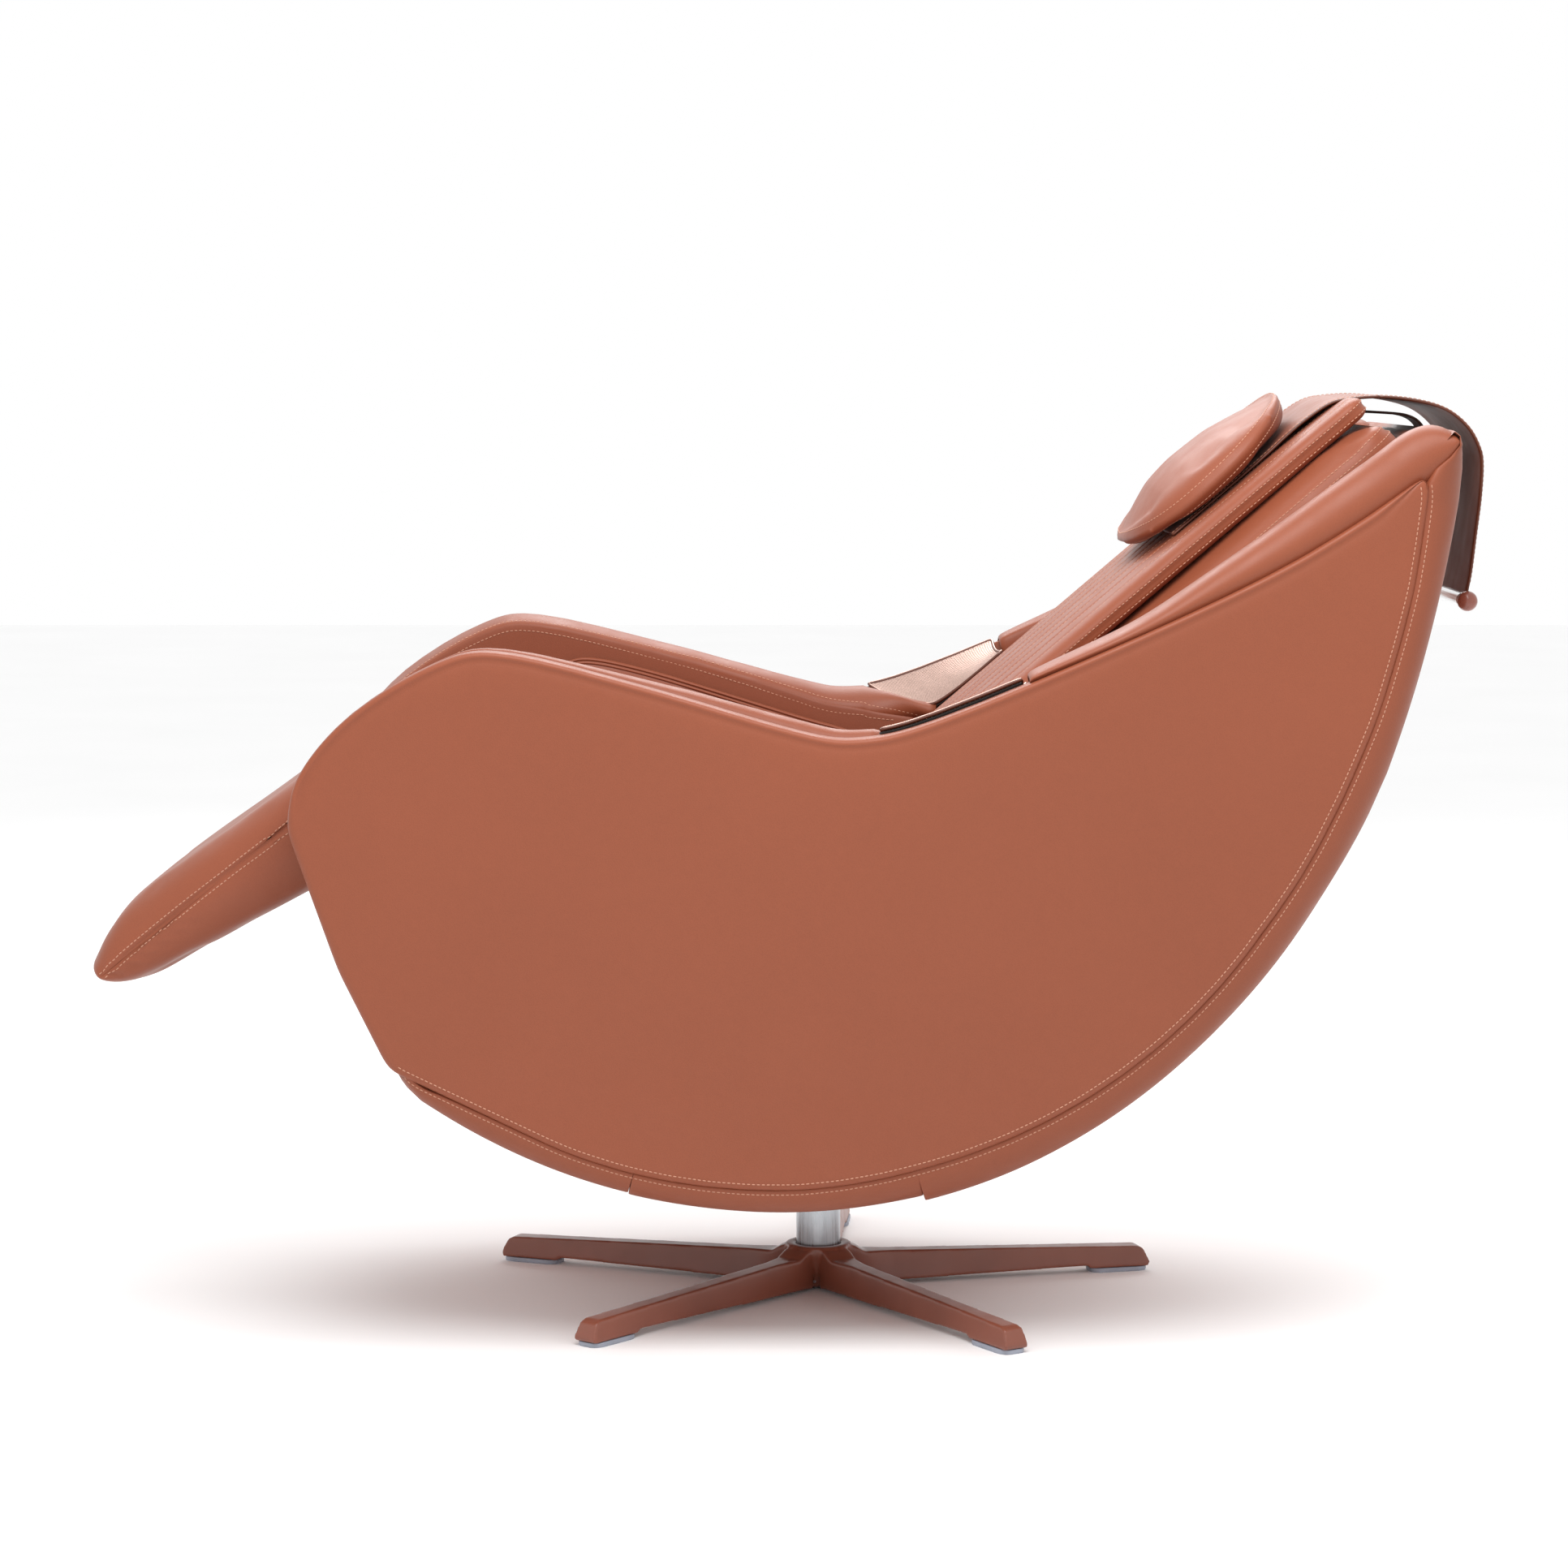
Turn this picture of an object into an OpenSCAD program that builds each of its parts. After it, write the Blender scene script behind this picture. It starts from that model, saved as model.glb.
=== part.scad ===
// Reclining lounge armchair on a five-legged swivel base.
// The chair faces -Y, +Z is up and +X is the sitter's left.
// The origin is on the swivel axis at floor level. The rest pose is fully reclined.

/* [Base] */
// Distance from the swivel axis to the outer end of a leg
base_r = 393; // [360:1:410]
// Direction of the first leg, counted from +X
leg_turn = 176; // [0:1:359]
// Height of a leg where it meets the hub
leg_hub_z = 51; // [46:1:54]
// Height of a leg at its toe
leg_toe_z = 33; // [28:1:38]
// Width of a leg at its toe
leg_toe_w = 44; // [40:1:50]
// Outside radius of the hub
hub_r = 37; // [34:1:42]
// Outside radius of the column tube
column_r = 25; // [24:1:28]

/* [Shell] */
// Radius of the round belly of the shell
shell_r = 666; // [650:1:680]
// Half of the width over the covers
cover_half_w = 335; // [330:1:338]
// Half of the width over the side panels
panel_half_w = 340; // [338:1:345]
// Thickness of the moulded covers
cover_t = 5; // [4:1:6]
// Thickness of a padded side panel
panel_t = 26; // [20:1:27]

/* [Seat and back] */
// Slope of the seat, down towards the back
seat_slope = 15; // [12:1:17]
// Slope of the back above the horizontal
back_slope = 40.5; // [40:0.5:41]
// Half of the width of the seat cushion
seat_half_w = 242; // [200:1:243]
// Half of the width of the channelled back pad
pad_half_w = 203; // [150:1:210]

/* [Legrest] */
// Half of the width of the legrest pad
legrest_half_w = 242; // [200:1:244]
// Radius of the rounded end of the legrest around its hinge
legrest_end_r = 58; // [54:1:58]

/* [Head pillow] */
// Half of the width of the head pillow
pillow_half_w = 160; // [130:1:180]
// Half of the width of the pillow strap
strap_half_w = 132; // [80:1:132]
// Thickness of the pillow strap
strap_t = 3.5; // [2:0.5:3.5]

/* [Hidden] */
$fn = 64;

// Running clearance between a shaft and its bore, on the radius
run = 0.05;
// Gap kept between curved faces that roll or slide past each other
gap = 0.3;
eps = 0.01;

// Tilt centre of the shell, as [Y, Z], and the slacker arc that carries on up the back
tilt_c = [-44, 812];
back_arc_r = 1560;
belly_end = -21;
back_end = -8;
back_c = tilt_c + (shell_r - back_arc_r) * [cos(belly_end), sin(belly_end)];
// Angles round the tilt centre where one cover ends and the next begins
cover_front_a = -127;
seam_front_a = -104;
seam_rear_a = -76.6;
// Depth and width of the rounded corner along both edges of the covers
corner_depth = 34;
corner_w = 45;
// Gap between a cover's sheet and its rounded edges, and half of the width of the sheet
seam = 0.1;
sheet_half_w = cover_half_w - corner_w - seam;

// Legrest hinge, as [Y, Z]
leg_c = [-505, 572];
leg_shaft_r = 12;

// Tilt drive: rail surface, rack pitch circle and what runs on them
rail_in_r = 585;
rail_out_r = 602;
rail_x = 103;
rail_w = 14;
roller_r = 20;
roller_a = 8;
axle_r = 6;
tooth_module = 3;
rack_pitch_r = 590;
pinion_teeth = 12;
pinion_pitch_r = tooth_module * pinion_teeth / 2;
addendum = 0.8 * tooth_module;
dedendum = 1.15 * tooth_module;
cheek_x = 84;
cheek_t = 8;
plate_z = 166;
plate_t = 10;
carriage_half = 106;
spindle_r = 18;

// Side frame and inner panels
frame_x = 298;
frame_t = 12;
inner_x = 262;
inner_t = 6;
cap_t = 14;

// Seat layers above the seat line, in the seat's own slope
seat_front = -575;
seat_back = -165;
seat_top = 487;
seat_bottom = 390;
pan_bottom = 374;

// Back layers, in the back's own slope: [height above the slope's origin]
board_bottom = 286;
board_top = 298;
cushion_bottom = 300;
cushion_top = 370;
pad_bottom = 372;
pad_top = 396;

// ---------- curves ----------

function polar(c, r, a) = c + r * [cos(a), sin(a)];
function arc(c, r, a0, a1, n) = [for (i = [0:n]) polar(c, r, a0 + (a1 - a0) * i / n)];
function catmull(p0, p1, p2, p3, t) = 0.5 * (
    2 * p1 + (p2 - p0) * t
    + (2 * p0 - 5 * p1 + 4 * p2 - p3) * t * t
    + (3 * p1 - p0 - 3 * p2 + p3) * t * t * t
);
function at(pts, i) = pts[max(0, min(len(pts) - 1, i))];
function smooth(pts, n) = concat(
    [for (i = [0:len(pts) - 2]) for (k = [0:n - 1])
        catmull(at(pts, i - 1), at(pts, i), at(pts, i + 1), at(pts, i + 2), k / n)],
    [at(pts, len(pts) - 1)]
);
function unit(v) = v / norm(v);
function left_of(v) = [-v[1], v[0]];
function along(pts, i) = unit(at(pts, i + 1) - at(pts, i - 1));
function shifted(pts, d) = [for (i = [0:len(pts) - 1]) pts[i] + d * left_of(along(pts, i))];
function reversed(pts) = [for (i = [len(pts) - 1:-1:0]) pts[i]];
function ribbon(pts, t) = concat(pts, reversed(shifted(pts, t)));
function between(pts, y0, y1) = [for (p = pts) if (p[0] > y0 && p[0] < y1) p];
// A point of the seat or the back, given in that part's own slope
function seat_pt(y, z) = [
    y * cos(seat_slope) + z * sin(seat_slope), z * cos(seat_slope) - y * sin(seat_slope)
];
function back_pt(t, n) = [
    t * cos(back_slope) - n * sin(back_slope), t * sin(back_slope) + n * cos(back_slope)
];

// Top edge of the side panels from the knee to the shoulder
arm_top = smooth([
    [-560, 560], [-548, 615], [-492, 680], [-400, 735], [-330, 745], [-180, 708],
    [-25, 663], [40, 655], [125, 676], [330, 762], [500, 845], [628, 930],
], 4);
// Rear, bottom and front edges of a panel, pulled in by d from the covers' outside
function panel_back(d) = concat(
    arc(back_c, back_arc_r - d, back_end - 0.5, belly_end + 1, 6),
    arc(tilt_c, shell_r - d, belly_end, -122, 24),
    [[-455, 303] + [0.5, 1] * (d - corner_depth), [-508, 410] + [d - corner_depth, 0]]
);

// ---------- helpers ----------

// Extrudes an outline drawn as [Y, Z] from x0 to x1
module slab(x0, x1) {
    translate([x0, 0, 0]) rotate([90, 0, 90]) linear_extrude(x1 - x0) children();
}
// The sitter's left part as drawn, or its mirror image on the right
module side(left) {
    mirror([left ? 0 : 1, 0, 0]) children();
}
// Turns a section drawn as [radius, X] round an axis along X through a [Y, Z] centre
module swept(c, a0, a1) {
    translate([0, c[0], c[1]]) rotate([90, 0, 90]) rotate([0, 0, a0])
        rotate_extrude(angle = a1 - a0, $fn = 180) children();
}
// Cylinder along X through a [Y, Z] point
module rod(c, r, x0, x1) {
    translate([x0, c[0], c[1]]) rotate([0, 90, 0]) cylinder(r = r, h = x1 - x0);
}
module on_back() {
    rotate([back_slope, 0, 0]) children();
}
module block(lo, hi) {
    translate(lo) cube(hi - lo);
}
// Curved sheet of a cover, inside a line of [Y, Z] points that runs towards the back
module sheet(line) {
    slab(-sheet_half_w, sheet_half_w) polygon(ribbon(line, cover_t));
}
// Rounded edge along both sides of a cover, round a centre, for an outside radius r
module edges(c, r, a0, a1) {
    function curve(t) = [for (u = [0:15:90]) [
        r - corner_depth + (corner_depth - t) * sin(u),
        sheet_half_w + seam + (corner_w - t) * cos(u),
    ]];
    for (left = [true, false]) side(left) swept(c, a0, a1)
        polygon(concat(curve(0), reversed(curve(cover_t))));
}
// Cover round the tilt centre
module cover(r, a0, a1) {
    sheet(arc(tilt_c, r, a0, a1, 16));
    edges(tilt_c, r, a0, a1);
}

// ---------- base ----------

foot_in_r = base_r - 71;
foot_out_r = base_r - 2;
foot_t = 5;

// Height of a leg's top edge where it runs into the hub
leg_root_z = leg_hub_z - 4;
hub_foot_r = 24;
hub_foot_z = 3;
// Radius inside the hub where the legs begin
leg_in_r = column_r + 3;

module leg_side() {
    polygon([
        [leg_in_r, hub_foot_z + 1], [hub_r, hub_foot_z + 1], [foot_in_r - 4, foot_t + 4],
        [foot_in_r, foot_t], [foot_out_r, foot_t], [base_r, foot_t + 6],
        [base_r - 7, leg_toe_z - 4], [base_r - 14, leg_toe_z], [leg_in_r, leg_root_z],
    ]);
}
module leg_plan() {
    root_w = 34;
    polygon([
        [0, -root_w / 2], [base_r + 1, -leg_toe_w / 2],
        [base_r + 1, leg_toe_w / 2], [0, root_w / 2],
    ]);
}
// The hub is a cone that the legs run into, bored for the column
module star_base() {
    color("#7a4434") difference() {
        union() {
            rotate_extrude() polygon([
                [0, hub_foot_z], [hub_foot_r, hub_foot_z], [hub_r, leg_root_z - 6],
                [hub_r, leg_hub_z], [0, leg_hub_z],
            ]);
            for (k = [0:4]) rotate([0, 0, leg_turn - 72 * k]) intersection() {
                rotate([90, 0, 0]) translate([0, 0, -30]) linear_extrude(60) leg_side();
                linear_extrude(60) leg_plan();
            }
        }
        translate([0, 0, 8]) cylinder(r = column_r, h = 60);
    }
}
module foot_pads() {
    w = leg_toe_w / 2;
    r = 15;
    color("#8d93a0") for (k = [0:4]) rotate([0, 0, leg_turn - 72 * k]) {
        for (x = [foot_in_r + r, foot_out_r - r], y = [-w + r, w - r])
            translate([x, y, 0]) cylinder(r = r, h = foot_t);
        translate([foot_in_r + r, -w, 0]) cube([foot_out_r - foot_in_r - 2 * r, 2 * w, foot_t]);
        translate([foot_in_r, -w + r, 0]) cube([foot_out_r - foot_in_r, 2 * (w - r), foot_t]);
    }
}
bush_r = 22;
column_top = 144;
module column_tube() {
    color("silver") difference() {
        translate([0, 0, 8]) cylinder(r = column_r, h = column_top - 8);
        translate([0, 0, 7]) cylinder(r = bush_r, h = column_top);
    }
}
module bush(z0, z1) {
    difference() {
        translate([0, 0, z0]) cylinder(r = bush_r, h = z1 - z0);
        translate([0, 0, z0 - 1]) cylinder(r = spindle_r + run, h = z1 - z0 + 2);
    }
}
// Upper and lower bush in the column, and the thrust pad under the spindle
module column_bushes() {
    color("ivory") {
        bush(16, 46);
        bush(114, column_top);
        translate([0, 0, 8]) cylinder(r = bush_r, h = 6 - run);
    }
}

// ---------- swivelling carriage ----------

bolt_pcd_r = 32;
module swivel_spindle() {
    color("silver") difference() {
        union() {
            translate([0, 0, 14]) cylinder(r = spindle_r, h = plate_z - 14);
            translate([0, 0, plate_z - 8]) cylinder(r = 42, h = 8);
        }
        for (a = [0:90:270]) rotate([0, 0, a]) translate([bolt_pcd_r, 0, plate_z - 9])
            cylinder(r = 4, h = 20);
    }
}
module swivel_plate() {
    color("#44474a") difference() {
        block(
            [-cheek_x - cheek_t, tilt_c[0] - carriage_half, plate_z],
            [cheek_x + cheek_t, tilt_c[0] + carriage_half, plate_z + plate_t]
        );
        for (a = [0:90:270]) rotate([0, 0, a]) translate([bolt_pcd_r, 0, plate_z - 1])
            cylinder(r = 4, h = plate_t + 2);
    }
}
module plate_bolts() {
    color("#2b2b2d") for (a = [0:90:270]) rotate([0, 0, a]) translate([bolt_pcd_r, 0, 0]) {
        translate([0, 0, plate_z - 8]) cylinder(r = 4, h = plate_t + 8);
        translate([0, 0, plate_z + plate_t]) cylinder(r = 6.5, h = 4);
    }
}
front_axle_c = polar(tilt_c, rail_out_r + roller_r, -90 - roller_a);
rear_axle_c = polar(tilt_c, rail_out_r + roller_r, -90 + roller_a);
pinion_c = polar(tilt_c, rack_pitch_r + pinion_pitch_r, -90);
module carriage_cheeks() {
    color("#44474a") for (s = [0, 1]) mirror([s, 0, 0]) difference() {
        block(
            [cheek_x, tilt_c[0] - carriage_half, plate_z + plate_t],
            [cheek_x + cheek_t, tilt_c[0] + carriage_half, plate_z + 70]
        );
        for (c = [front_axle_c, rear_axle_c, pinion_c])
            rod(c, axle_r + run, cheek_x - 1, cheek_x + cheek_t + 1);
    }
}
module keeper_shoes() {
    color("ivory") for (s = [0, 1]) mirror([s, 0, 0]) for (a = [-1, 1])
        translate([cheek_x + cheek_t, tilt_c[0], tilt_c[1]]) rotate([a * roller_a, 0, 0])
        translate([0, -12, -rail_in_r + 1]) cube([rail_w + 10, 24, 10]);
}
module tilt_gearmotor() {
    color("#3a3d40") difference() {
        block([20, pinion_c[0] - 26, plate_z + plate_t], [82, pinion_c[0] + 26, 230]);
        rod(pinion_c, axle_r + run, 19, 83);
    }
}
module roller_pair(c) {
    color("#3a3a3c") rod(c, axle_r, -rail_x - rail_w - 4, rail_x + rail_w + 4);
    color("ivory") for (s = [-1, 1]) rod(c, roller_r - gap, s * (rail_x + rail_w / 2) - 8,
        s * (rail_x + rail_w / 2) + 8);
}
module front_rollers() {
    roller_pair(front_axle_c);
}
module rear_rollers() {
    roller_pair(rear_axle_c);
}
// Corners of one gear tooth as [radius, part of a pitch], thinned by a little backlash
function tooth(r) = [
    [r - dedendum, -0.34], [r, -0.235], [r + addendum, -0.13],
    [r + addendum, 0.13], [r, 0.235], [r - dedendum, 0.34],
];
module tilt_pinion() {
    pitch = 360 / pinion_teeth;
    color("#b8b0a0") union() {
        slab(-8, 8) translate(pinion_c) polygon([
            for (k = [0:pinion_teeth - 1])
                for (p = tooth(pinion_pitch_r))
                    p[0] * [cos(90 + (k + p[1]) * pitch), sin(90 + (k + p[1]) * pitch)]
        ]);
        rod(pinion_c, axle_r, -cheek_x - cheek_t - 3, cheek_x + cheek_t + 3);
    }
}

// ---------- shell frame ----------

rail_front_a = -118;
rail_rear_a = -76;
bar_a = 2.5;
// Two curved rails welded between a front and a rear cross bar
module tilt_rails() {
    color("silver") {
        for (s = [0, 1]) mirror([s, 0, 0]) swept(tilt_c, rail_front_a, rail_rear_a)
            translate([rail_in_r, rail_x]) square([rail_out_r - rail_in_r, rail_w]);
        for (a = [rail_front_a - bar_a, rail_rear_a]) swept(tilt_c, a, a + bar_a)
            translate([rack_in_r, -frame_x]) square([rail_out_r - rack_in_r, 2 * frame_x]);
    }
}
rack_root_r = rack_pitch_r - dedendum;
rack_in_r = rack_root_r - 13;
module tilt_rack() {
    pitch = 360 * tooth_module / (2 * rack_pitch_r);
    color("#b8b0a0") slab(-8, 8) translate(tilt_c) polygon(concat(
        arc([0, 0], rack_root_r, rail_front_a, -109, 4),
        [for (k = [-19:4]) for (p = tooth(rack_pitch_r))
            p[0] * [cos(-90 + (k + 0.5 + p[1]) * pitch), sin(-90 + (k + 0.5 + p[1]) * pitch)]],
        arc([0, 0], rack_root_r, -85, rail_rear_a, 4),
        arc([0, 0], rack_in_r, rail_rear_a, rail_front_a, 16)
    ));
}
module side_frame(left) {
    color("burlywood") side(left) slab(frame_x, frame_x + frame_t) polygon(concat(
        between(shifted(arm_top, -2 * cap_t), -540, 595),
        panel_back(corner_depth + 14)
    ));
}
module side_frame_left() {
    side_frame(true);
}
module side_frame_right() {
    side_frame(false);
}
module seat_pan() {
    color("burlywood") slab(-frame_x, frame_x) polygon([
        seat_pt(seat_front + 6, pan_bottom), seat_pt(seat_back + 20, pan_bottom),
        seat_pt(seat_back + 20, seat_bottom - 2), seat_pt(seat_front + 6, seat_bottom - 2),
    ]);
}
module front_apron() {
    color("burlywood") block([-frame_x, -438, 300], [frame_x, -428, 498]);
}

// ---------- side panels and arms ----------

module panel_outline() {
    polygon(concat(arm_top, panel_back(corner_depth + 1)));
}
module side_panel(left) {
    color("#aa6149") side(left) slab(panel_half_w - panel_t, panel_half_w) panel_outline();
}
module side_panel_left() {
    side_panel(true);
}
module side_panel_right() {
    side_panel(false);
}
// Space left in the inner panels for the speakers
speaker_notch = [[-30, 900], [-30, 640], [60, 562], [160, 562], [245, 690], [245, 900]];
module inner_panel(left) {
    color("#a05a44") side(left) difference() {
        slab(inner_x, inner_x + inner_t) difference() {
            polygon(concat(
                between(shifted(arm_top, -cap_t - 2), -545, 475),
                [back_pt(870, cushion_bottom), back_pt(340, board_bottom),
                    seat_pt(seat_back + 20, seat_bottom), seat_pt(seat_front, seat_bottom),
                    [-480, 500], [-525, 520]]
            ));
            polygon(speaker_notch);
        }
        rod(leg_c, leg_shaft_r + 1, inner_x - 1, inner_x + inner_t + 1);
    }
}
module inner_panel_left() {
    inner_panel(true);
}
module inner_panel_right() {
    inner_panel(false);
}
arm_pad_top = smooth([[-312, 680], [-300, 697], [-270, 700], [-198, 684], [-102, 655],
    [-6, 625], [45, 612], [62, 600]], 4);
module arm_pad(left) {
    color("#a65e47") side(left) slab(seat_half_w + 4, inner_x - 0.5) polygon(concat(
        arm_pad_top, [seat_pt(-120, seat_top + 6), seat_pt(-460, seat_top + 6)]
    ));
}
module arm_pad_left() {
    arm_pad(true);
}
module arm_pad_right() {
    arm_pad(false);
}
cap_out_x = panel_half_w - panel_t - 1;
// Inner corner of the hip, where cap, grille and back pad meet
hip_inner = [seat_half_w + 5, 147, 636];
module armrest_cap(left) {
    color("#a8604a") side(left) {
        slab(inner_x, cap_out_x) polygon(ribbon(
            between(arm_top, -556, -20), -cap_t));
        hull() {
            slab(inner_x, cap_out_x) translate([-31, 653]) square([4, 10]);
            slab(cap_out_x - 8, cap_out_x) translate([48, 648]) square([8, 9]);
            translate(hip_inner - [0, 10, 10]) cube([4, 6, 8]);
        }
    }
}
module armrest_cap_left() {
    armrest_cap(true);
}
module armrest_cap_right() {
    armrest_cap(false);
}
module speaker_grille(left) {
    color("#c39a86") side(left) hull() {
        translate([cap_out_x - 6, 66, 651]) cube([6, 4, 7]);
        translate([cap_out_x - 6, 212, 704]) cube([6, 4, 7]);
        translate([hip_inner[0], 156, 630]) cube([4, 4, 7]);
        translate([hip_inner[0], 214, 698]) cube([4, 4, 7]);
    }
}
module speaker_grille_left() {
    speaker_grille(true);
}
module speaker_grille_right() {
    speaker_grille(false);
}
module speaker_drivers() {
    color("#2b2b2d") for (left = [true, false]) side(left) translate([275, 118, 590]) {
        cylinder(r = 20, h = 22);
        translate([0, 0, -18]) cylinder(r = 12, h = 18 + eps);
    }
}

// ---------- shoulders and covers ----------

shoulder_top = smooth([[226, 722], [330, 777], [415, 832], [500, 891], [583, 952],
    [618, 978], [642, 981], [659, 972], [664, 950]], 4);
module shoulder_bolster(left) {
    color("#ad664d") side(left) slab(inner_x + 8, panel_half_w - 6) polygon(concat(
        shoulder_top,
        [[658, 936], [631, 937]],
        reversed(between(shifted(arm_top, 2), 230, 620))
    ));
}
module shoulder_bolster_left() {
    shoulder_bolster(true);
}
module shoulder_bolster_right() {
    shoulder_bolster(false);
}
module top_roll() {
    color("#ad664d") slab(-inner_x - 7, inner_x + 7) polygon(smooth([
        [635, 927], [629, 945], [631, 962], [641, 972], [652, 972], [661, 961], [664, 945],
        [663, 928],
    ], 3));
}
// The front cover is cut back where the corners of the side panels stand out
module front_cover() {
    color("#a05a44") difference() {
        cover(shell_r - 2, cover_front_a, seam_front_a);
        for (left = [true, false]) side(left)
            slab(panel_half_w - panel_t - 1, panel_half_w) panel_outline();
    }
}
slot_half_w = 26;
module middle_cover() {
    slot_front_a = -102.4;
    slot_rear_a = -83.9;
    color("#955440") difference() {
        cover(shell_r, seam_front_a + 0.05, seam_rear_a - 0.05);
        swept(tilt_c, slot_front_a, slot_rear_a)
            translate([shell_r - 20, -slot_half_w]) square([40, 2 * slot_half_w]);
    }
}
inlet_a = -62;
inlet_x = 175;
module rear_shell() {
    color("#a05a44") difference() {
        union() {
            sheet(concat(
                arc(tilt_c, shell_r, seam_rear_a, belly_end, 24),
                arc(back_c, back_arc_r, belly_end + 1, back_end, 8)
            ));
            edges(tilt_c, shell_r, seam_rear_a, belly_end);
            edges(back_c, back_arc_r, belly_end, back_end);
        }
        inlet_box(inlet_x - 26, inlet_x + 46, 15, -20, 20);
    }
}
// A box at the power inlet, from x0 to x1, with half height h, from depth d0 to d1 of the skin
module inlet_box(x0, x1, h, d0, d1) {
    translate([0, tilt_c[0], tilt_c[1]]) rotate([inlet_a, 0, 0])
        translate([x0, shell_r + d0, -h]) cube([x1 - x0, d1 - d0, 2 * h]);
}

// ---------- seat and back ----------

module seat_cushion() {
    color("#ad664d") slab(-seat_half_w, seat_half_w) polygon([
        seat_pt(seat_front, seat_bottom), seat_pt(seat_back, seat_bottom),
        seat_pt(seat_back, seat_top - 12), seat_pt(seat_back - 12, seat_top),
        seat_pt(seat_front + 30, seat_top), seat_pt(seat_front, seat_top - 30),
    ]);
}
board_in_x = 74;
module back_boards() {
    color("burlywood") for (s = [0, 1]) mirror([s, 0, 0]) on_back()
        block([board_in_x, 345, board_bottom], [inner_x - 2, 1055, board_top]);
}
module back_cushion() {
    color("#a8604a") slab(-seat_half_w, seat_half_w) polygon([
        back_pt(335, cushion_bottom), back_pt(1062, cushion_bottom), back_pt(1094, 335),
        back_pt(1094, 358), back_pt(1082, cushion_top), back_pt(335, cushion_top),
    ]);
}
module back_pad() {
    color("#ad664d") slab(-pad_half_w, pad_half_w) polygon([
        back_pt(322, pad_bottom), back_pt(1090, pad_bottom), back_pt(1095, 379),
        back_pt(1075, 391), back_pt(1040, pad_top), back_pt(322, pad_top),
    ]);
}
// Narrow strap from the back pad over the top roll, with its tab on the rear shell
module pad_strap() {
    color("#8f4f3c") {
        slab(-28, 28) polygon(ribbon(smooth([
            [590, 992], [614, 989], [640, 986], [660, 978], [672, 958], [671, 920], [667, 888],
        ], 4), -2.5));
        slab(-34, 34) polygon([[662.5, 888], [670, 888], [668, 866], [659.5, 866]]);
    }
}
// The length of the pillow strap that lies over the top of the chair
module strap_over() {
    color("#9c5843") slab(-strap_half_w, strap_half_w) polygon(ribbon(smooth([
        back_pt(900, pad_top + 5.5), back_pt(1000, pad_top + 5.5), [545, 997], [571, 1007],
        [607, 1011], [651, 1006], [686, 996], [708, 977], [718, 954], [721, 938], [714, 868],
    ], 3), -strap_t));
}

// ---------- massage unit in the back ----------

// Height of the guide rails and the screw above the back's origin
rail_h = 215;
guide_x = 68;
guide_r = 8;
screw_r = 7;
bracket_low = 552;
bracket_high = 950;
carriage_t = 740;
knead_h = 262;
knead_t = carriage_t + 30;
// Cylinder along the back at [X, height], from t0 to t1
module back_rod(x, h, r, t0, t1) {
    on_back() translate([x, t1, h]) rotate([90, 0, 0]) cylinder(r = r, h = t1 - t0);
}
// Two guide rails between a lower and an upper bracket
module massage_frame() {
    color("silver") {
        for (x = [-guide_x, guide_x])
            back_rod(x, rail_h, guide_r, bracket_low + 8, bracket_high);
        for (t = [bracket_low, bracket_high]) difference() {
            on_back() block([-115, t, rail_h - 20], [115, t + 8, board_bottom]);
            back_rod(0, rail_h, screw_r + run, t - 1, t + 9);
        }
    }
}
module screw_motor() {
    color("#3a3d40") difference() {
        on_back() block([-28, bracket_low - 60, rail_h - 28], [28, bracket_low, rail_h + 28]);
        back_rod(0, rail_h, screw_r + run, bracket_low - 20, bracket_low + 1);
    }
}
module massage_screw() {
    color("silver") back_rod(0, rail_h, screw_r, bracket_low - 18, bracket_high + 14);
}
module massage_carriage() {
    color("#303338") difference() {
        union() {
            on_back() block([-85, carriage_t, rail_h - 18], [85, carriage_t + 60, rail_h + 13]);
            for (x = [-85, 77]) on_back()
                block([x, carriage_t + 15, rail_h + 12], [x + 8, carriage_t + 45, knead_h + 14]);
        }
        for (x = [-guide_x, guide_x])
            back_rod(x, rail_h, guide_r + run, carriage_t - 1, carriage_t + 61);
        back_rod(0, rail_h, screw_r + run, carriage_t - 1, carriage_t + 61);
        on_back() rod([knead_t, knead_h], axle_r + run, -86, 86);
    }
}
module kneading_motor() {
    color("#3a3d40") {
        difference() {
            on_back() block([-16, carriage_t + 10, rail_h + 13], [16, carriage_t + 50, knead_h + 20]);
            on_back() rod([knead_t, knead_h], axle_r + run, -17, 17);
        }
        on_back() translate([-38, knead_t, rail_h - 70]) cylinder(r = 19, h = 52);
    }
}
module kneading_wheels() {
    wheel_r = 26;
    throw = 6;
    color("#d8d2c6") on_back() {
        rod([knead_t, knead_h], axle_r, -84, 84);
        for (s = [-1, 1])
            rod([knead_t, knead_h + s * throw], wheel_r, s * 46 - 14, s * 46 + 14);
    }
}

// ---------- electrics ----------

module control_box() {
    color("#2b2b2d") block([-150, -380, 330], [-20, -270, 385]);
}
module power_inlet() {
    color("#2b2b2d") difference() {
        inlet_box(inlet_x - 25.7, inlet_x + 45.7, 14.7, -26, 2);
        inlet_box(inlet_x - 20, inlet_x + 16, 9, -20, 5);
        inlet_box(inlet_x + 24, inlet_x + 40, 10, -13, 5);
    }
}
module power_switch() {
    color("#b03028") translate([0, tilt_c[0], tilt_c[1]]) rotate([inlet_a, 0, 0])
        translate([inlet_x + 25, shell_r - 3, 0]) rotate([0, 90, 0]) difference() {
            cylinder(r = 8, h = 14);
            translate([-9, 6, -1]) cube([18, 6, 16]);
        }
}

// ---------- legrest ----------

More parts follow.
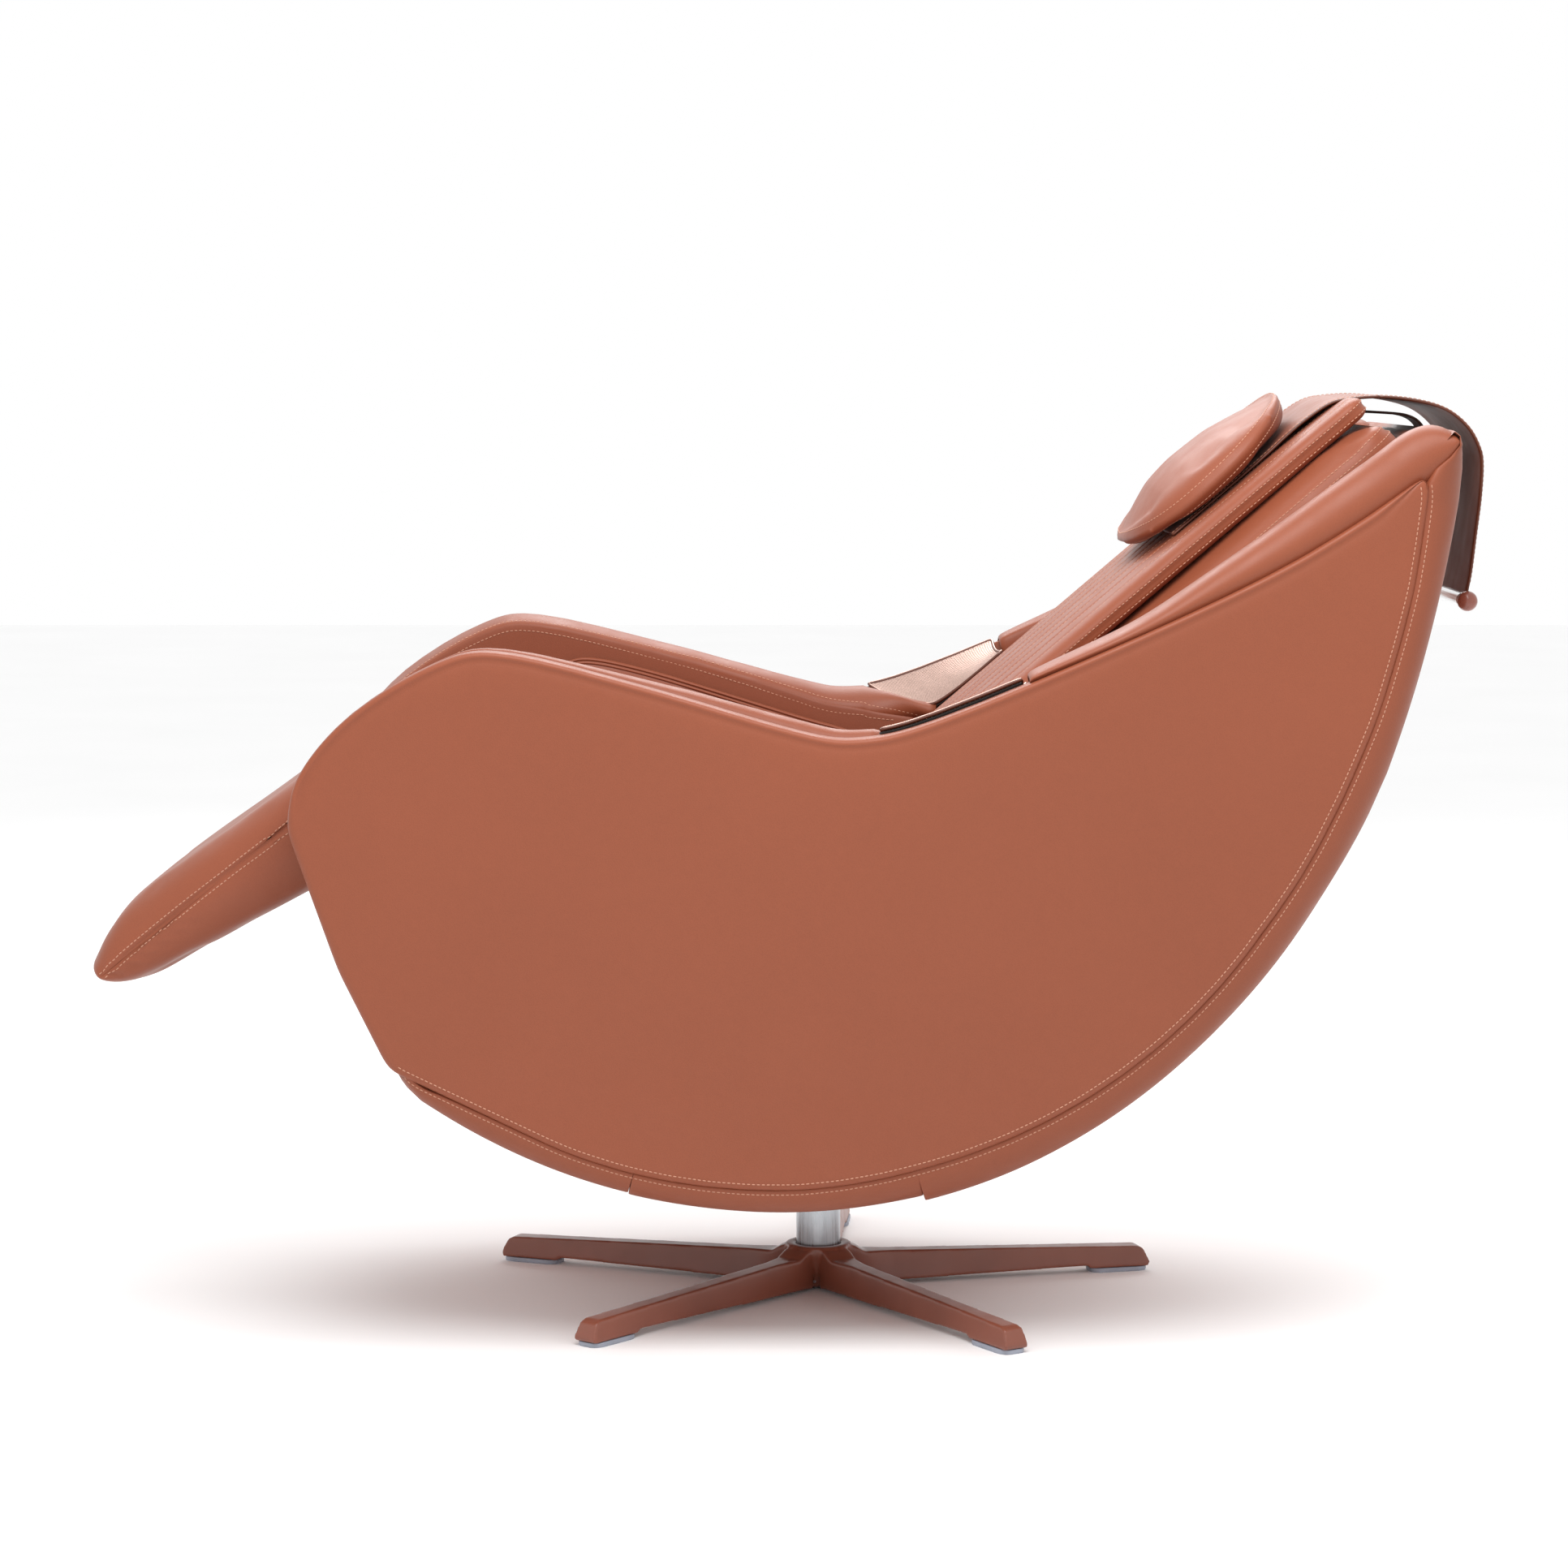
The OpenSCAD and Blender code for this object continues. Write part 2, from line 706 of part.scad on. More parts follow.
module legrest_bearing() {
    color("#44474a") difference() {
        block([inner_x + inner_t, leg_c[0] - 30, leg_c[1] - 30], [frame_x, leg_c[0] + 30, leg_c[1] + 30]);
        rod(leg_c, leg_shaft_r + run, inner_x, frame_x + 1);
    }
}
module legrest_gearmotor() {
    color("#3a3d40") difference() {
        union() {
            rod(leg_c, 36, -frame_x, -inner_x - inner_t);
            block([-frame_x, leg_c[0], leg_c[1] - 14], [-inner_x - inner_t, leg_c[0] + 95, leg_c[1] + 14]);
        }
        rod(leg_c, leg_shaft_r + run, -frame_x - 1, -inner_x);
    }
}
// Tray that carries the legrest pad, as a slab with a slope
module legrest_tray(grow) {
    slab(-210 - grow, 210 + grow) polygon([
        leg_c + [-8, -5], [-700, 444], [-703, 456], leg_c + [-10, 8],
    ]);
}
module legrest_frame() {
    color("silver") {
        rod(leg_c, leg_shaft_r, gap - frame_x, frame_x - gap);
        legrest_tray(0);
    }
}
legrest_side = concat(
    arc(leg_c, legrest_end_r, -62, 126, 14),
    smooth([[-563, 603], [-634, 551], [-708, 499], [-755, 461], [-778, 420], [-776, 391],
        [-745, 383], [-712, 393], [-648, 429], [-555, 479]], 4)
);
module legrest_pad() {
    color("#a65e47") difference() {
        slab(-legrest_half_w, legrest_half_w) polygon(legrest_side);
        rod(leg_c, leg_shaft_r, -legrest_half_w - 1, legrest_half_w + 1);
        legrest_tray(0);
    }
}

// ---------- head pillow ----------

pillow_bottom = pad_top + 9.5;
module head_pillow() {
    color("#ad664d") slab(-pillow_half_w, pillow_half_w) polygon(concat(
        [for (p = [[850, pillow_bottom], [812, 424]]) back_pt(p[0], p[1])],
        smooth([for (p = [[807, 436], [818, 452], [855, 466], [902, 471], [961, 468],
            [1003, 457], [1036, 441], [1041, 432]]) back_pt(p[0], p[1])], 3),
        [for (p = [[1015, 418], [970, pillow_bottom]]) back_pt(p[0], p[1])]
    ));
}
module pillow_strap() {
    color("#9c5843") on_back() block(
        [-strap_half_w, 850, pillow_bottom - strap_t - gap],
        [strap_half_w, 965, pillow_bottom - gap]);
}
bar_c = [703, 788];
bar_r = 8.5;
ball_r = 11;
bar_half = strap_half_w + 1;
// Direction in which the strap hangs behind the chair, pointing up
hang = unit([15, 140]);
module weight_strap() {
    // The tail hangs just inside the length of strap that is fixed over the top
    inside = 6.5;
    top = bar_c + 90 * hang;
    color("#9c5843") difference() {
        union() {
            rod(bar_c, bar_r + 2.5, -strap_half_w, strap_half_w);
            slab(-strap_half_w, strap_half_w) polygon([
                bar_c - [inside, 0], bar_c - [inside - 3, 0],
                top - [inside - 3, 0], top - [inside, 0],
            ]);
        }
        rod(bar_c, bar_r, -strap_half_w - 1, strap_half_w + 1);
    }
}
module weight_bar() {
    color("silver") rod(bar_c, bar_r, -bar_half, bar_half);
}
module weight_balls() {
    color("#7a4434") for (s = [-1, 1])
        translate([s * (bar_half + ball_r), bar_c[0], bar_c[1]]) sphere(r = ball_r);
}

// ---------- drawing ----------

star_base();
foot_pads();
column_tube();
column_bushes();
swivel_spindle();
swivel_plate();
plate_bolts();
carriage_cheeks();
keeper_shoes();
tilt_gearmotor();
front_rollers();
rear_rollers();
tilt_pinion();
tilt_rails();
tilt_rack();
side_frame_left();
side_frame_right();
seat_pan();
front_apron();
side_panel_left();
side_panel_right();
inner_panel_left();
inner_panel_right();
arm_pad_left();
arm_pad_right();
armrest_cap_left();
armrest_cap_right();
speaker_grille_left();
speaker_grille_right();
speaker_drivers();
shoulder_bolster_left();
shoulder_bolster_right();
top_roll();
front_cover();
middle_cover();
rear_shell();
seat_cushion();
back_boards();
back_cushion();
back_pad();
pad_strap();
strap_over();
massage_frame();
screw_motor();
massage_screw();
massage_carriage();
kneading_motor();
kneading_wheels();
control_box();
power_inlet();
power_switch();
legrest_bearing();
legrest_gearmotor();
legrest_frame();
legrest_pad();
head_pillow();
pillow_strap();
weight_strap();
weight_bar();
weight_balls();
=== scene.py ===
"""Looks of a reclining lounge armchair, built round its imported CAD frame.

Everything is in metres in the frame of the CAD model: the chair faces -Y, +Z is up and +X is the
sitter's left. Outlines that the frame holds are read from the CAD nodes.
"""

import math
from itertools import product

import bpy
import numpy as np
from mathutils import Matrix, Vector, noise
from mathutils.bvhtree import BVHTree
from mathutils.geometry import delaunay_2d_cdt
from mathutils.kdtree import KDTree


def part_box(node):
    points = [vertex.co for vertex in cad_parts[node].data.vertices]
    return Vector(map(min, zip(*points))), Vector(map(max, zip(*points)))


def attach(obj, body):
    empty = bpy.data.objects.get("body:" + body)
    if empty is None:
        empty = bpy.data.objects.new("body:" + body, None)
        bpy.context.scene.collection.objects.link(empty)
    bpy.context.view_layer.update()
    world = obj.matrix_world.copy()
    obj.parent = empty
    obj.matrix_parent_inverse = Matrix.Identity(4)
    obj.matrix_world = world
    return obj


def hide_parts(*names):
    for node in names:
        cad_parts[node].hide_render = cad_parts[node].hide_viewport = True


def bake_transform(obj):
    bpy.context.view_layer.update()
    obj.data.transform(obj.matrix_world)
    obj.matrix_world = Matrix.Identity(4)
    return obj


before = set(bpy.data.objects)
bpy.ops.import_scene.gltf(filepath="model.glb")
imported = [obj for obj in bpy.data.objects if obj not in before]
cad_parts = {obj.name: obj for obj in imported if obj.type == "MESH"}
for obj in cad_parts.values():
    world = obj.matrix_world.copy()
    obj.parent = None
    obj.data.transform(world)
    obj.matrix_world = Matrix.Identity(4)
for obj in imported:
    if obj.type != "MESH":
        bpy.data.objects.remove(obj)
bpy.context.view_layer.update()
scene = bpy.context.scene

# ---------- numbers shared by several pieces ----------

SEAT_SLOPE = math.radians(15)
BACK_SLOPE = math.radians(40.5)
TILT_CENTRE = np.array([-0.044, 0.812])
SHELL_R = 0.666
BACK_ARC_R = 1.560
BELLY_END = -21
BACK_END = -8
BACK_CENTRE = TILT_CENTRE + (SHELL_R - BACK_ARC_R) * np.array(
    [math.cos(math.radians(BELLY_END)), math.sin(math.radians(BELLY_END))]
)
CORNER_DEPTH = 0.034
CORNER_W = 0.045
COVER_HALF_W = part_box("rear_shell")[1].x
PANEL_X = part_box("side_panel_left")[1].x
CAP_OUT_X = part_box("armrest_cap_left")[1].x
CAP_IN_X = 0.262
SEAT_HALF_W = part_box("seat_cushion")[1].x
PAD_HALF_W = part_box("back_pad")[1].x
PILLOW_HALF_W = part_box("head_pillow")[1].x
STRAP_HALF_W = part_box("strap_over")[1].x
LEGREST_HALF_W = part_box("legrest_pad")[1].x
THREAD_R = 0.00055
STITCH = 0.0036
STITCH_PITCH = 0.0052
SLOT_HALF_W = 0.026
FIRST_LEG = 176
LEG_PITCH = 72
LEG_HEIGHT = 0.045
PAD_HEIGHT = 0.005


# ---------- curves ----------


def smoothstep(x, low, high):
    t = np.clip((np.asarray(x, float) - low) / (high - low), 0, 1)
    return t * t * (3 - 2 * t)


def lengths(path):
    steps = np.linalg.norm(np.diff(path, axis=0), axis=1)
    return np.concatenate([[0], np.cumsum(steps)])


def at_lengths(where, along, values):
    """Rows of values at the given distances along their path."""
    return np.stack([np.interp(where, along, column) for column in values.T], -1)


def resample(path, step, closed=False):
    path = np.asarray(path, float)
    if closed:
        path = np.vstack([path, path[:1]])
    along = lengths(path)
    at = np.linspace(0, along[-1], max(3, int(round(along[-1] / step)) + 1))
    return at_lengths(at[:-1] if closed else at, along, path)


def spline(points, step):
    """Smooth curve through the points, with points at an even spacing."""
    p = np.asarray(points, float)
    padded = np.pad(p, ((1, 1), (0, 0)), "edge")
    t = np.linspace(0, 1, 12, endpoint=False)[:, None]
    parts = []
    for a, b, c, d in zip(padded, padded[1:], padded[2:], padded[3:]):
        cubic = 3 * b - a - 3 * c + d
        parts.append(b + 0.5 * ((c - a) * t + (2 * a - 5 * b + 4 * c - d) * t**2 + cubic * t**3))
    return resample(np.vstack([*parts, p[-1:]]), step)


def unit(vectors):
    return vectors / np.maximum(np.linalg.norm(vectors, axis=1, keepdims=True), 1e-9)


def tangents(path, closed=False):
    if closed:
        return unit(np.roll(path, -1, 0) - np.roll(path, 1, 0))
    return unit(np.gradient(path, axis=0))


def left_of(path, closed=False):
    t = tangents(path, closed)
    return np.stack([-t[:, 1], t[:, 0]], 1)


def faired(loop, passes):
    """A closed loop with its corners rounded off."""
    for _ in range(passes):
        loop = (np.roll(loop, 1, 0) + 2 * loop + np.roll(loop, -1, 0)) / 4
    return loop


def around(centre, radius, degrees):
    a = np.radians(degrees)
    return np.stack([centre[0] + radius * np.cos(a), centre[1] + radius * np.sin(a)], 1)


def arc(centre, radius, start, end, count):
    return around(centre, radius, np.linspace(start, end, count))


def tilt_angle(points):
    """Direction of each [Y, Z] point from the tilt's centre, in degrees."""
    d = points - TILT_CENTRE
    return np.degrees(np.arctan2(d[:, 1], d[:, 0]))


def squared(wave, power):
    """A sine or cosine drawn towards a square wave, for round-cornered outlines."""
    return np.sign(wave) * np.abs(wave) ** power


def round_edge(distance, radius):
    """Share of the height that a rounded edge loses: 1 at the edge, 0 a radius away from it."""
    return 1 - np.sqrt(1 - (1 - np.clip(distance / radius, 0, 1)) ** 2 + 1e-9)


def outline(node):
    """Closed [Y, Z] outline of a slab, from its flat end face at the highest X."""
    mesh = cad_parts[node].data
    mesh.calc_loop_triangles()
    co = np.array([v.co for v in mesh.vertices])
    end = co[:, 0].max() - 1e-5
    edges = set()
    for tri in mesh.loop_triangles:
        ids = list(tri.vertices)
        if all(co[i, 0] > end for i in ids):
            keys = [tuple(np.round(co[i, 1:], 6)) for i in ids]
            for a, b in zip(keys, keys[1:] + keys[:1]):
                if (b, a) in edges:
                    edges.remove((b, a))
                else:
                    edges.add((a, b))
    follow = dict(edges)
    loops = []
    while follow:
        start, at = next(iter(follow.items()))
        del follow[start]
        loop = [start]
        while at != start:
            loop.append(at)
            at = follow.pop(at)
        loops.append(np.array(loop))
    return max(loops, key=lambda loop: np.ptp(loop[:, 0]))


def with_x(x, path):
    return np.column_stack([np.broadcast_to(x, len(path)), path])


def sloped(slope):
    """Maker of points from X, the distance along a slope and the height above it."""
    cos, sin = math.cos(slope), math.sin(slope)
    return lambda x, along, height: np.stack([x, along * cos - height * sin, along * sin + height * cos], -1)


seat_frame = sloped(-SEAT_SLOPE)
back_frame = sloped(BACK_SLOPE)


# ---------- meshes ----------


def new_object(name, verts, faces, materials, smooth=True):
    mesh = bpy.data.meshes.new(name)
    mesh.from_pydata([tuple(v) for v in verts], [], [tuple(f) for f in faces])
    mesh.polygons.foreach_set("use_smooth", [smooth] * len(mesh.polygons))
    for material in materials if isinstance(materials, list) else [materials]:
        mesh.materials.append(material)
    obj = bpy.data.objects.new(name, mesh)
    scene.collection.objects.link(obj)
    return obj


def coords(obj, key="co"):
    values = np.empty(len(obj.data.vertices) * 3)
    obj.data.vertices.foreach_get(key, values)
    return values.reshape(-1, 3)


def set_coords(obj, co):
    obj.data.vertices.foreach_set("co", np.asarray(co, np.float32).ravel())
    obj.data.update()


def baked(obj):
    """Replaces the mesh with what its modifiers make of it."""
    graph = bpy.context.evaluated_depsgraph_get()
    mesh = bpy.data.meshes.new_from_object(obj.evaluated_get(graph))
    obj.modifiers.clear()
    obj.data = mesh
    return obj


def subdivided(obj):
    modifier = obj.modifiers.new("subdivision", "SUBSURF")
    modifier.levels = modifier.render_levels = 1
    return baked(obj)


def band(a, b, count):
    """Quads between two closed rings whose first vertices are a and b."""
    return [(a + k, a + (k + 1) % count, b + (k + 1) % count, b + k) for k in range(count)]


def rings_mesh(rings, caps=True):
    """Vertices and faces of closed rings joined one to the next; caps are fans."""
    count, verts = len(rings[0]), np.vstack(rings)
    faces = [quad for i in range(len(rings) - 1) for quad in band(i * count, (i + 1) * count, count)]
    if caps:
        total = len(verts)
        for first, centre, order in ((0, total, -1), (total - count, total + 1, 1)):
            faces += [(first + k, first + (k + 1) % count, centre)[::order] for k in range(count)]
        verts = np.vstack([verts, rings[0].mean(0), rings[-1].mean(0)])
    return verts, faces


def filled(rings, height, spacing=0.012):
    """Rings closed at the back, whose last one is filled with an even field of triangles at X = height(points)."""
    verts, faces = rings_mesh(rings, False)
    count = len(rings[0])
    bounds = [(k, (k + 1) % count) for k in range(count)]
    rear = [Vector(p) for p in rings[0][:, 1:]]
    _, _, triangles, sources, _, _ = delaunay_2d_cdt(rear, bounds, [], 1, 1e-7)
    faces += [tuple(sources[k][0] for k in t)[::-1] for t in triangles]
    loop = rings[-1][:, 1:]
    low, high = loop.min(0), loop.max(0)
    y, z = np.meshgrid(np.arange(low[0], high[0], spacing), np.arange(low[1], high[1], spacing))
    field = np.column_stack([y.ravel(), z.ravel()])
    ends = np.roll(loop, -1, 0)
    cross = (loop[:, 1] > field[:, 1:]) != (ends[:, 1] > field[:, 1:])
    rise = np.where(np.abs(ends[:, 1] - loop[:, 1]) < 1e-9, 1e-9, ends[:, 1] - loop[:, 1])
    left = field[:, :1] < loop[:, 0] + (field[:, 1:] - loop[:, 1]) * (ends[:, 0] - loop[:, 0]) / rise
    inside = (cross & left).sum(1) % 2 == 1
    near = np.min(np.hypot(field[:, :1] - loop[:, 0], field[:, 1:] - loop[:, 1]), 1)
    points = [Vector(p) for p in np.vstack([loop, field[inside & (near > spacing * 0.6)]])]
    made, _, triangles, sources, _, _ = delaunay_2d_cdt(points, bounds, [], 1, 1e-7)
    ids, extra = [], []
    for point, source in zip(made, sources):
        if source and source[0] < count:
            ids.append(len(verts) - count + source[0])
        else:
            ids.append(len(verts) + len(extra))
            extra.append(tuple(point))
    faces += [tuple(ids[k] for k in t) for t in triangles]
    extra = np.array(extra)
    return np.vstack([verts, with_x(height(extra), extra)]), faces


def thickened(front, back, faces):
    """Closed solid between two sets of points that have the same faces."""
    count, edges = len(front), {}
    for face in faces:
        for edge in zip(face, face[1:] + face[:1]):
            if edges.pop(edge[::-1], None) is None:
                edges[edge] = True
    solid = faces + [tuple(v + count for v in face[::-1]) for face in faces]
    return np.vstack([front, back]), solid + [(b, a, a + count, b + count) for a, b in edges]


def sheet_solid(outer, inner, keep=None):
    """Closed solid between two grids of points; keep says which cells are there."""
    rows, cols = outer.shape[:2]
    if keep is None:
        keep = np.ones((rows - 1, cols - 1), bool)
    index = np.arange(rows * cols).reshape(rows, cols)
    cells = [(index[i, j], index[i, j + 1], index[i + 1, j + 1], index[i + 1, j]) for i, j in zip(*np.nonzero(keep))]
    verts, faces = thickened(outer.reshape(-1, 3), inner.reshape(-1, 3), cells)
    used = np.zeros(len(verts), bool)
    used[np.array(faces).ravel()] = True
    renumber = np.cumsum(used) - 1
    return verts[used], [tuple(renumber[list(f)]) for f in faces]


def tube(path, radius, sides, closed=False, normal=(0.0, 0.0, 1.0)):
    """Round tube along a path."""
    t = tangents(path, closed)
    side = unit(np.cross(t, normal))
    a = np.linspace(0, 2 * math.pi, sides, endpoint=False)
    rings = [p + radius * (np.outer(np.cos(a), s) + np.outer(np.sin(a), u))
             for p, s, u in zip(path, side, np.cross(side, t))]
    verts, faces = rings_mesh(rings, not closed)
    if closed:
        faces += band((len(rings) - 1) * sides, 0, sides)
    return verts, faces


def joined(parts):
    """One list of vertices and faces from several."""
    verts, faces, offset = [], [], 0
    for v, f in parts:
        verts.append(v)
        faces += [tuple(i + offset for i in face) for face in f]
        offset += len(v)
    return np.vstack(verts), faces


def mirrored(verts, faces):
    return verts * [-1, 1, 1], [f[::-1] for f in faces]


def place(obj, body, replaces=()):
    """Says what the piece rides on and what it stands for."""
    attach(obj, body)
    if replaces:
        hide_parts(*replaces)


def pair(name, shape, material, node=None, wave=None, fill=None, smooth=True):
    """The left piece and its mirror image; wave is (height, size, left seed, right seed)."""
    for k, side in enumerate(("left", "right")):
        obj = new_object(f"{name}_{side}", *(mirrored(*shape) if k else shape), material, smooth)
        if fill is not None:
            subdivided(obj)
        if wave:
            wavy(obj, *wave[:2], wave[2 + k])
        place(obj, "shell", [f"{node}_{side}"] if node else ())


def wavy(obj, height, size, seed):
    """Moves the surface in and out a little, as leather over foam lies."""
    co, no = coords(obj), coords(obj, "normal")
    shift = Vector((seed, seed * 0.7, -seed))
    amount = np.array([noise.noise(Vector(p) / size + shift) for p in co])
    set_coords(obj, co + no * (height * amount)[:, None])


def surface(obj):
    return BVHTree.FromObject(obj, bpy.context.evaluated_depsgraph_get())


def kd_tree(points):
    tree = KDTree(len(points))
    for i, p in enumerate(points):
        tree.insert(p, i)
    tree.balance()
    return tree


def laid(path, tree):
    """The path moved onto a surface, with the surface's normals."""
    found = [tree.find_nearest(Vector(p)) for p in path]
    return np.array([hit[0] for hit in found]), np.array([hit[1] for hit in found])


def groove(obj, path, width, depth, closed=False):
    """Presses a seam into the surface along a path."""
    path = resample(path, width / 2, closed)
    tree = kd_tree(path)
    co, no = coords(obj), coords(obj, "normal")
    reach = 3 * width
    near = ((co > path.min(0) - reach) & (co < path.max(0) + reach)).all(1)
    for i in np.nonzero(near)[0]:
        d = tree.find(co[i])[2]
        if d < reach:
            co[i] -= no[i] * depth * math.exp(-((d / width) ** 2))
    set_coords(obj, co)


def stitches(path, ups, closed=False):
    """Threads lying along a path, each a short rounded bar, with a needle hole between two."""
    if closed:
        path, ups = np.vstack([path, path[:1]]), np.vstack([ups, ups[:1]])
    along = lengths(path)
    count = max(1, int(along[-1] / STITCH_PITCH))
    a = np.linspace(0, 2 * math.pi, 6, endpoint=False)
    profile = [(-0.5, 0.25), (-0.36, 0.9), (0, 1.1), (0.36, 0.9), (0.5, 0.25)]
    parts = []
    for k in range(count):
        middle = (k + 0.5) * along[-1] / count
        before, at, after = at_lengths(middle + np.array([-1e-3, 0, 1e-3]), along, path)
        up = at_lengths(middle, along, ups)
        t = (after - before) / max(np.linalg.norm(after - before), 1e-9)
        side = np.cross(t, up)
        parts.append(rings_mesh([
            at + t * STITCH * s + THREAD_R * r * (np.outer(np.cos(a), side) + np.outer(np.sin(a), up))
            for s, r in profile
        ]))
    return joined(parts)


def threads(name, rows, both_sides=False):
    """One object with all the stitch rows of a piece; rows are (path, normals) with an optional closed."""
    parts = [stitches(*row) for row in rows]
    if both_sides:
        parts += [mirrored(*part) for part in parts]
    return new_object(name, *joined(parts), THREAD)


def inflate(obj, pins, pressure, cap):
    """Cloth simulation of a stuffed piece: pressure from inside, held at its seams, no point moved past the cap."""
    rest = coords(obj)
    obj.vertex_groups.new(name="seams").add([int(i) for i in pins], 1.0, "REPLACE")
    cloth = obj.modifiers.new("cloth", "CLOTH")
    settings = cloth.settings
    settings.quality = 6
    settings.vertex_group_mass = "seams"
    settings.use_pressure = True
    settings.uniform_pressure_force = pressure
    settings.effector_weights.gravity = 0
    settings.tension_stiffness = settings.compression_stiffness = 25
    settings.bending_stiffness = 1.5
    cloth.point_cache.frame_start, cloth.point_cache.frame_end = 1, 20
    for number in range(1, 21):
        scene.frame_set(number)
    shift = coords(obj.evaluated_get(bpy.context.evaluated_depsgraph_get())) - rest
    obj.modifiers.clear()
    obj.vertex_groups.clear()
    scene.frame_set(1)
    size = np.linalg.norm(shift, axis=1, keepdims=True)
    set_coords(obj, rest + shift * cap * np.tanh(size / cap) / np.maximum(size, 1e-9))


# ---------- materials ----------


class Shader:
    """A Principled material with short calls for adding nodes."""

    def __init__(self, name, **sockets):
        self.material = bpy.data.materials.new(name)
        self.material.use_nodes = True
        self.tree = self.material.node_tree
        self.bsdf = self.tree.nodes["Principled BSDF"]
        self.coord = self.tree.nodes.new("ShaderNodeTexCoord").outputs["Object"]
        for socket, value in sockets.items():
            self.bsdf.inputs[socket.replace("_", " ")].default_value = value

    def node(self, kind, output, inputs, **settings):
        n = self.tree.nodes.new("ShaderNode" + kind)
        for key, value in settings.items():
            setattr(n, key, value)
        for key, value in inputs.items():
            if isinstance(value, bpy.types.NodeSocket):
                self.tree.links.new(value, n.inputs[key])
            else:
                n.inputs[key].default_value = value
        return n.outputs[output]

    def noise(self, scale, detail=3.0, distortion=0.0, vector=None):
        inputs = {"Vector": vector or self.coord, "Scale": scale, "Detail": detail, "Distortion": distortion}
        return self.node("TexNoise", "Fac", inputs)

    def cells(self, scale):
        return self.node("TexVoronoi", "Distance", {"Vector": self.coord, "Scale": scale}, feature="F1")

    def stretched(self, scale):
        return self.node("Mapping", "Vector", {"Vector": self.coord, "Scale": scale})

    def blend(self, a, share_a, b, share_b):
        first = self.node("Math", 0, {0: a, 1: share_a}, operation="MULTIPLY")
        second = self.node("Math", 0, {0: b, 1: share_b}, operation="MULTIPLY")
        return self.node("Math", 0, {0: first, 1: second}, operation="ADD")

    def ramp(self, value, low, high, to_low, to_high):
        return self.node("MapRange", "Result", {
            "Value": value, "From Min": low, "From Max": high, "To Min": to_low, "To Max": to_high,
        })

    def colours(self, value, stops):
        n = self.tree.nodes.new("ShaderNodeValToRGB")
        self.tree.links.new(value, n.inputs["Fac"])
        ramp = n.color_ramp
        while len(ramp.elements) < len(stops):
            ramp.elements.new(0.5)
        for element, (position, colour) in zip(ramp.elements, stops):
            element.position = position
            element.color = (*colour, 1)
        return n.outputs["Color"]

    def link(self, output, socket):
        self.tree.links.new(output, self.bsdf.inputs[socket])

    def finish(self, colour, rub, rough, relief, strength, depth):
        """Links the colour, roughness from the rub and bump from the relief."""
        self.link(colour, "Base Color")
        self.link(self.ramp(rub, 0.3, 0.7, *rough), "Roughness")
        self.link(self.node("Bump", "Normal", {"Height": relief, "Strength": strength, "Distance": depth}), "Normal")
        return self.material


def shade(colour, factor):
    return tuple(min(1.0, c * factor) for c in colour)


def two_tone(colour, dark, light, low=0.3):
    return [(low, shade(colour, dark)), (1 - low, shade(colour, light))]


def leather(name, colour, rough=0.46, grain=760, wear_and_highlight=0.25):
    """Smooth aniline leather: fine pebbled grain, faint creases, blotchy dye, and paler along sharp convex edges,
    partly rubbing wear and partly a painted edge highlight.
    """
    s = Shader(name, Specular_IOR_Level=0.34, Sheen_Weight=0.04, Sheen_Roughness=0.4)
    pebble = s.cells(grain)
    dye = s.blend(s.noise(4, 3), 0.7, s.noise(90, 5), 0.3)
    base = s.colours(dye, [(0.3, shade(colour, 0.95)), (0.52, colour), (0.75, shade(colour, 1.05))])
    # Paler colour along sharp convex edges (by pointiness): partly rubbing wear, partly a painted edge highlight
    edge = s.ramp(s.node("NewGeometry", "Pointiness", {}), 0.5, 0.58, 0.0, wear_and_highlight)
    pores = s.ramp(pebble, 0.0, 0.55, 0.9, 1.0)
    worn_and_highlit = s.node("Mix", 2, {0: edge, 6: base, 7: (*shade(colour, 1.6), 1)}, data_type="RGBA")
    shaded = s.node("Mix", 2, {0: 1.0, 6: worn_and_highlit, 7: pores}, data_type="RGBA", blend_type="MULTIPLY")
    relief = s.blend(pebble, 0.55, s.noise(210, 4, 1.2), 0.5)
    return s.finish(shaded, s.noise(30, 4), (rough - 0.05, rough + 0.07), relief, 0.22, 0.0005)


def painted(name, colour, rough, coat=0.0):
    """Powder coat or lacquer with a fine orange peel."""
    s = Shader(name, Coat_Weight=coat, Coat_Roughness=0.15)
    tone = s.colours(s.noise(12, 3), two_tone(colour, 0.9, 1.08, 0.35))
    return s.finish(tone, s.noise(40, 4), (rough - 0.05, rough + 0.06), s.noise(900, 2), 0.12, 0.0003)


def brushed(name, colour, rough, squeeze=(6, 900, 900)):
    """Metal with fine streaks along the axis that the squeeze stretches, by itself along X."""
    s = Shader(name, Metallic=1.0)
    streak = s.noise(1.0, 4, vector=s.stretched(squeeze))
    tone = s.colours(streak, two_tone(colour, 0.82, 1.1))
    return s.finish(tone, streak, (rough - 0.07, rough + 0.1), streak, 0.1, 0.0002)


def moulded(name, colour, rough):
    """Moulded plastic or rubber with a spark-eroded texture."""
    s = Shader(name)
    tone = s.colours(s.noise(25, 3), two_tone(colour, 0.9, 1.1, 0.35))
    return s.finish(tone, s.noise(60, 3), (rough - 0.05, rough + 0.08), s.cells(1500), 0.15, 0.0003)


def birch_plywood(name):
    """Plywood with stretched grain."""
    s = Shader(name)
    grain = s.noise(3.0, 6, 0.6, vector=s.stretched((30, 5, 60)))
    tone = s.colours(grain, [(0.3, (0.36, 0.21, 0.10)), (0.55, (0.56, 0.38, 0.2)), (0.8, (0.66, 0.48, 0.28))])
    return s.finish(tone, grain, (0.5, 0.68), grain, 0.2, 0.0004)


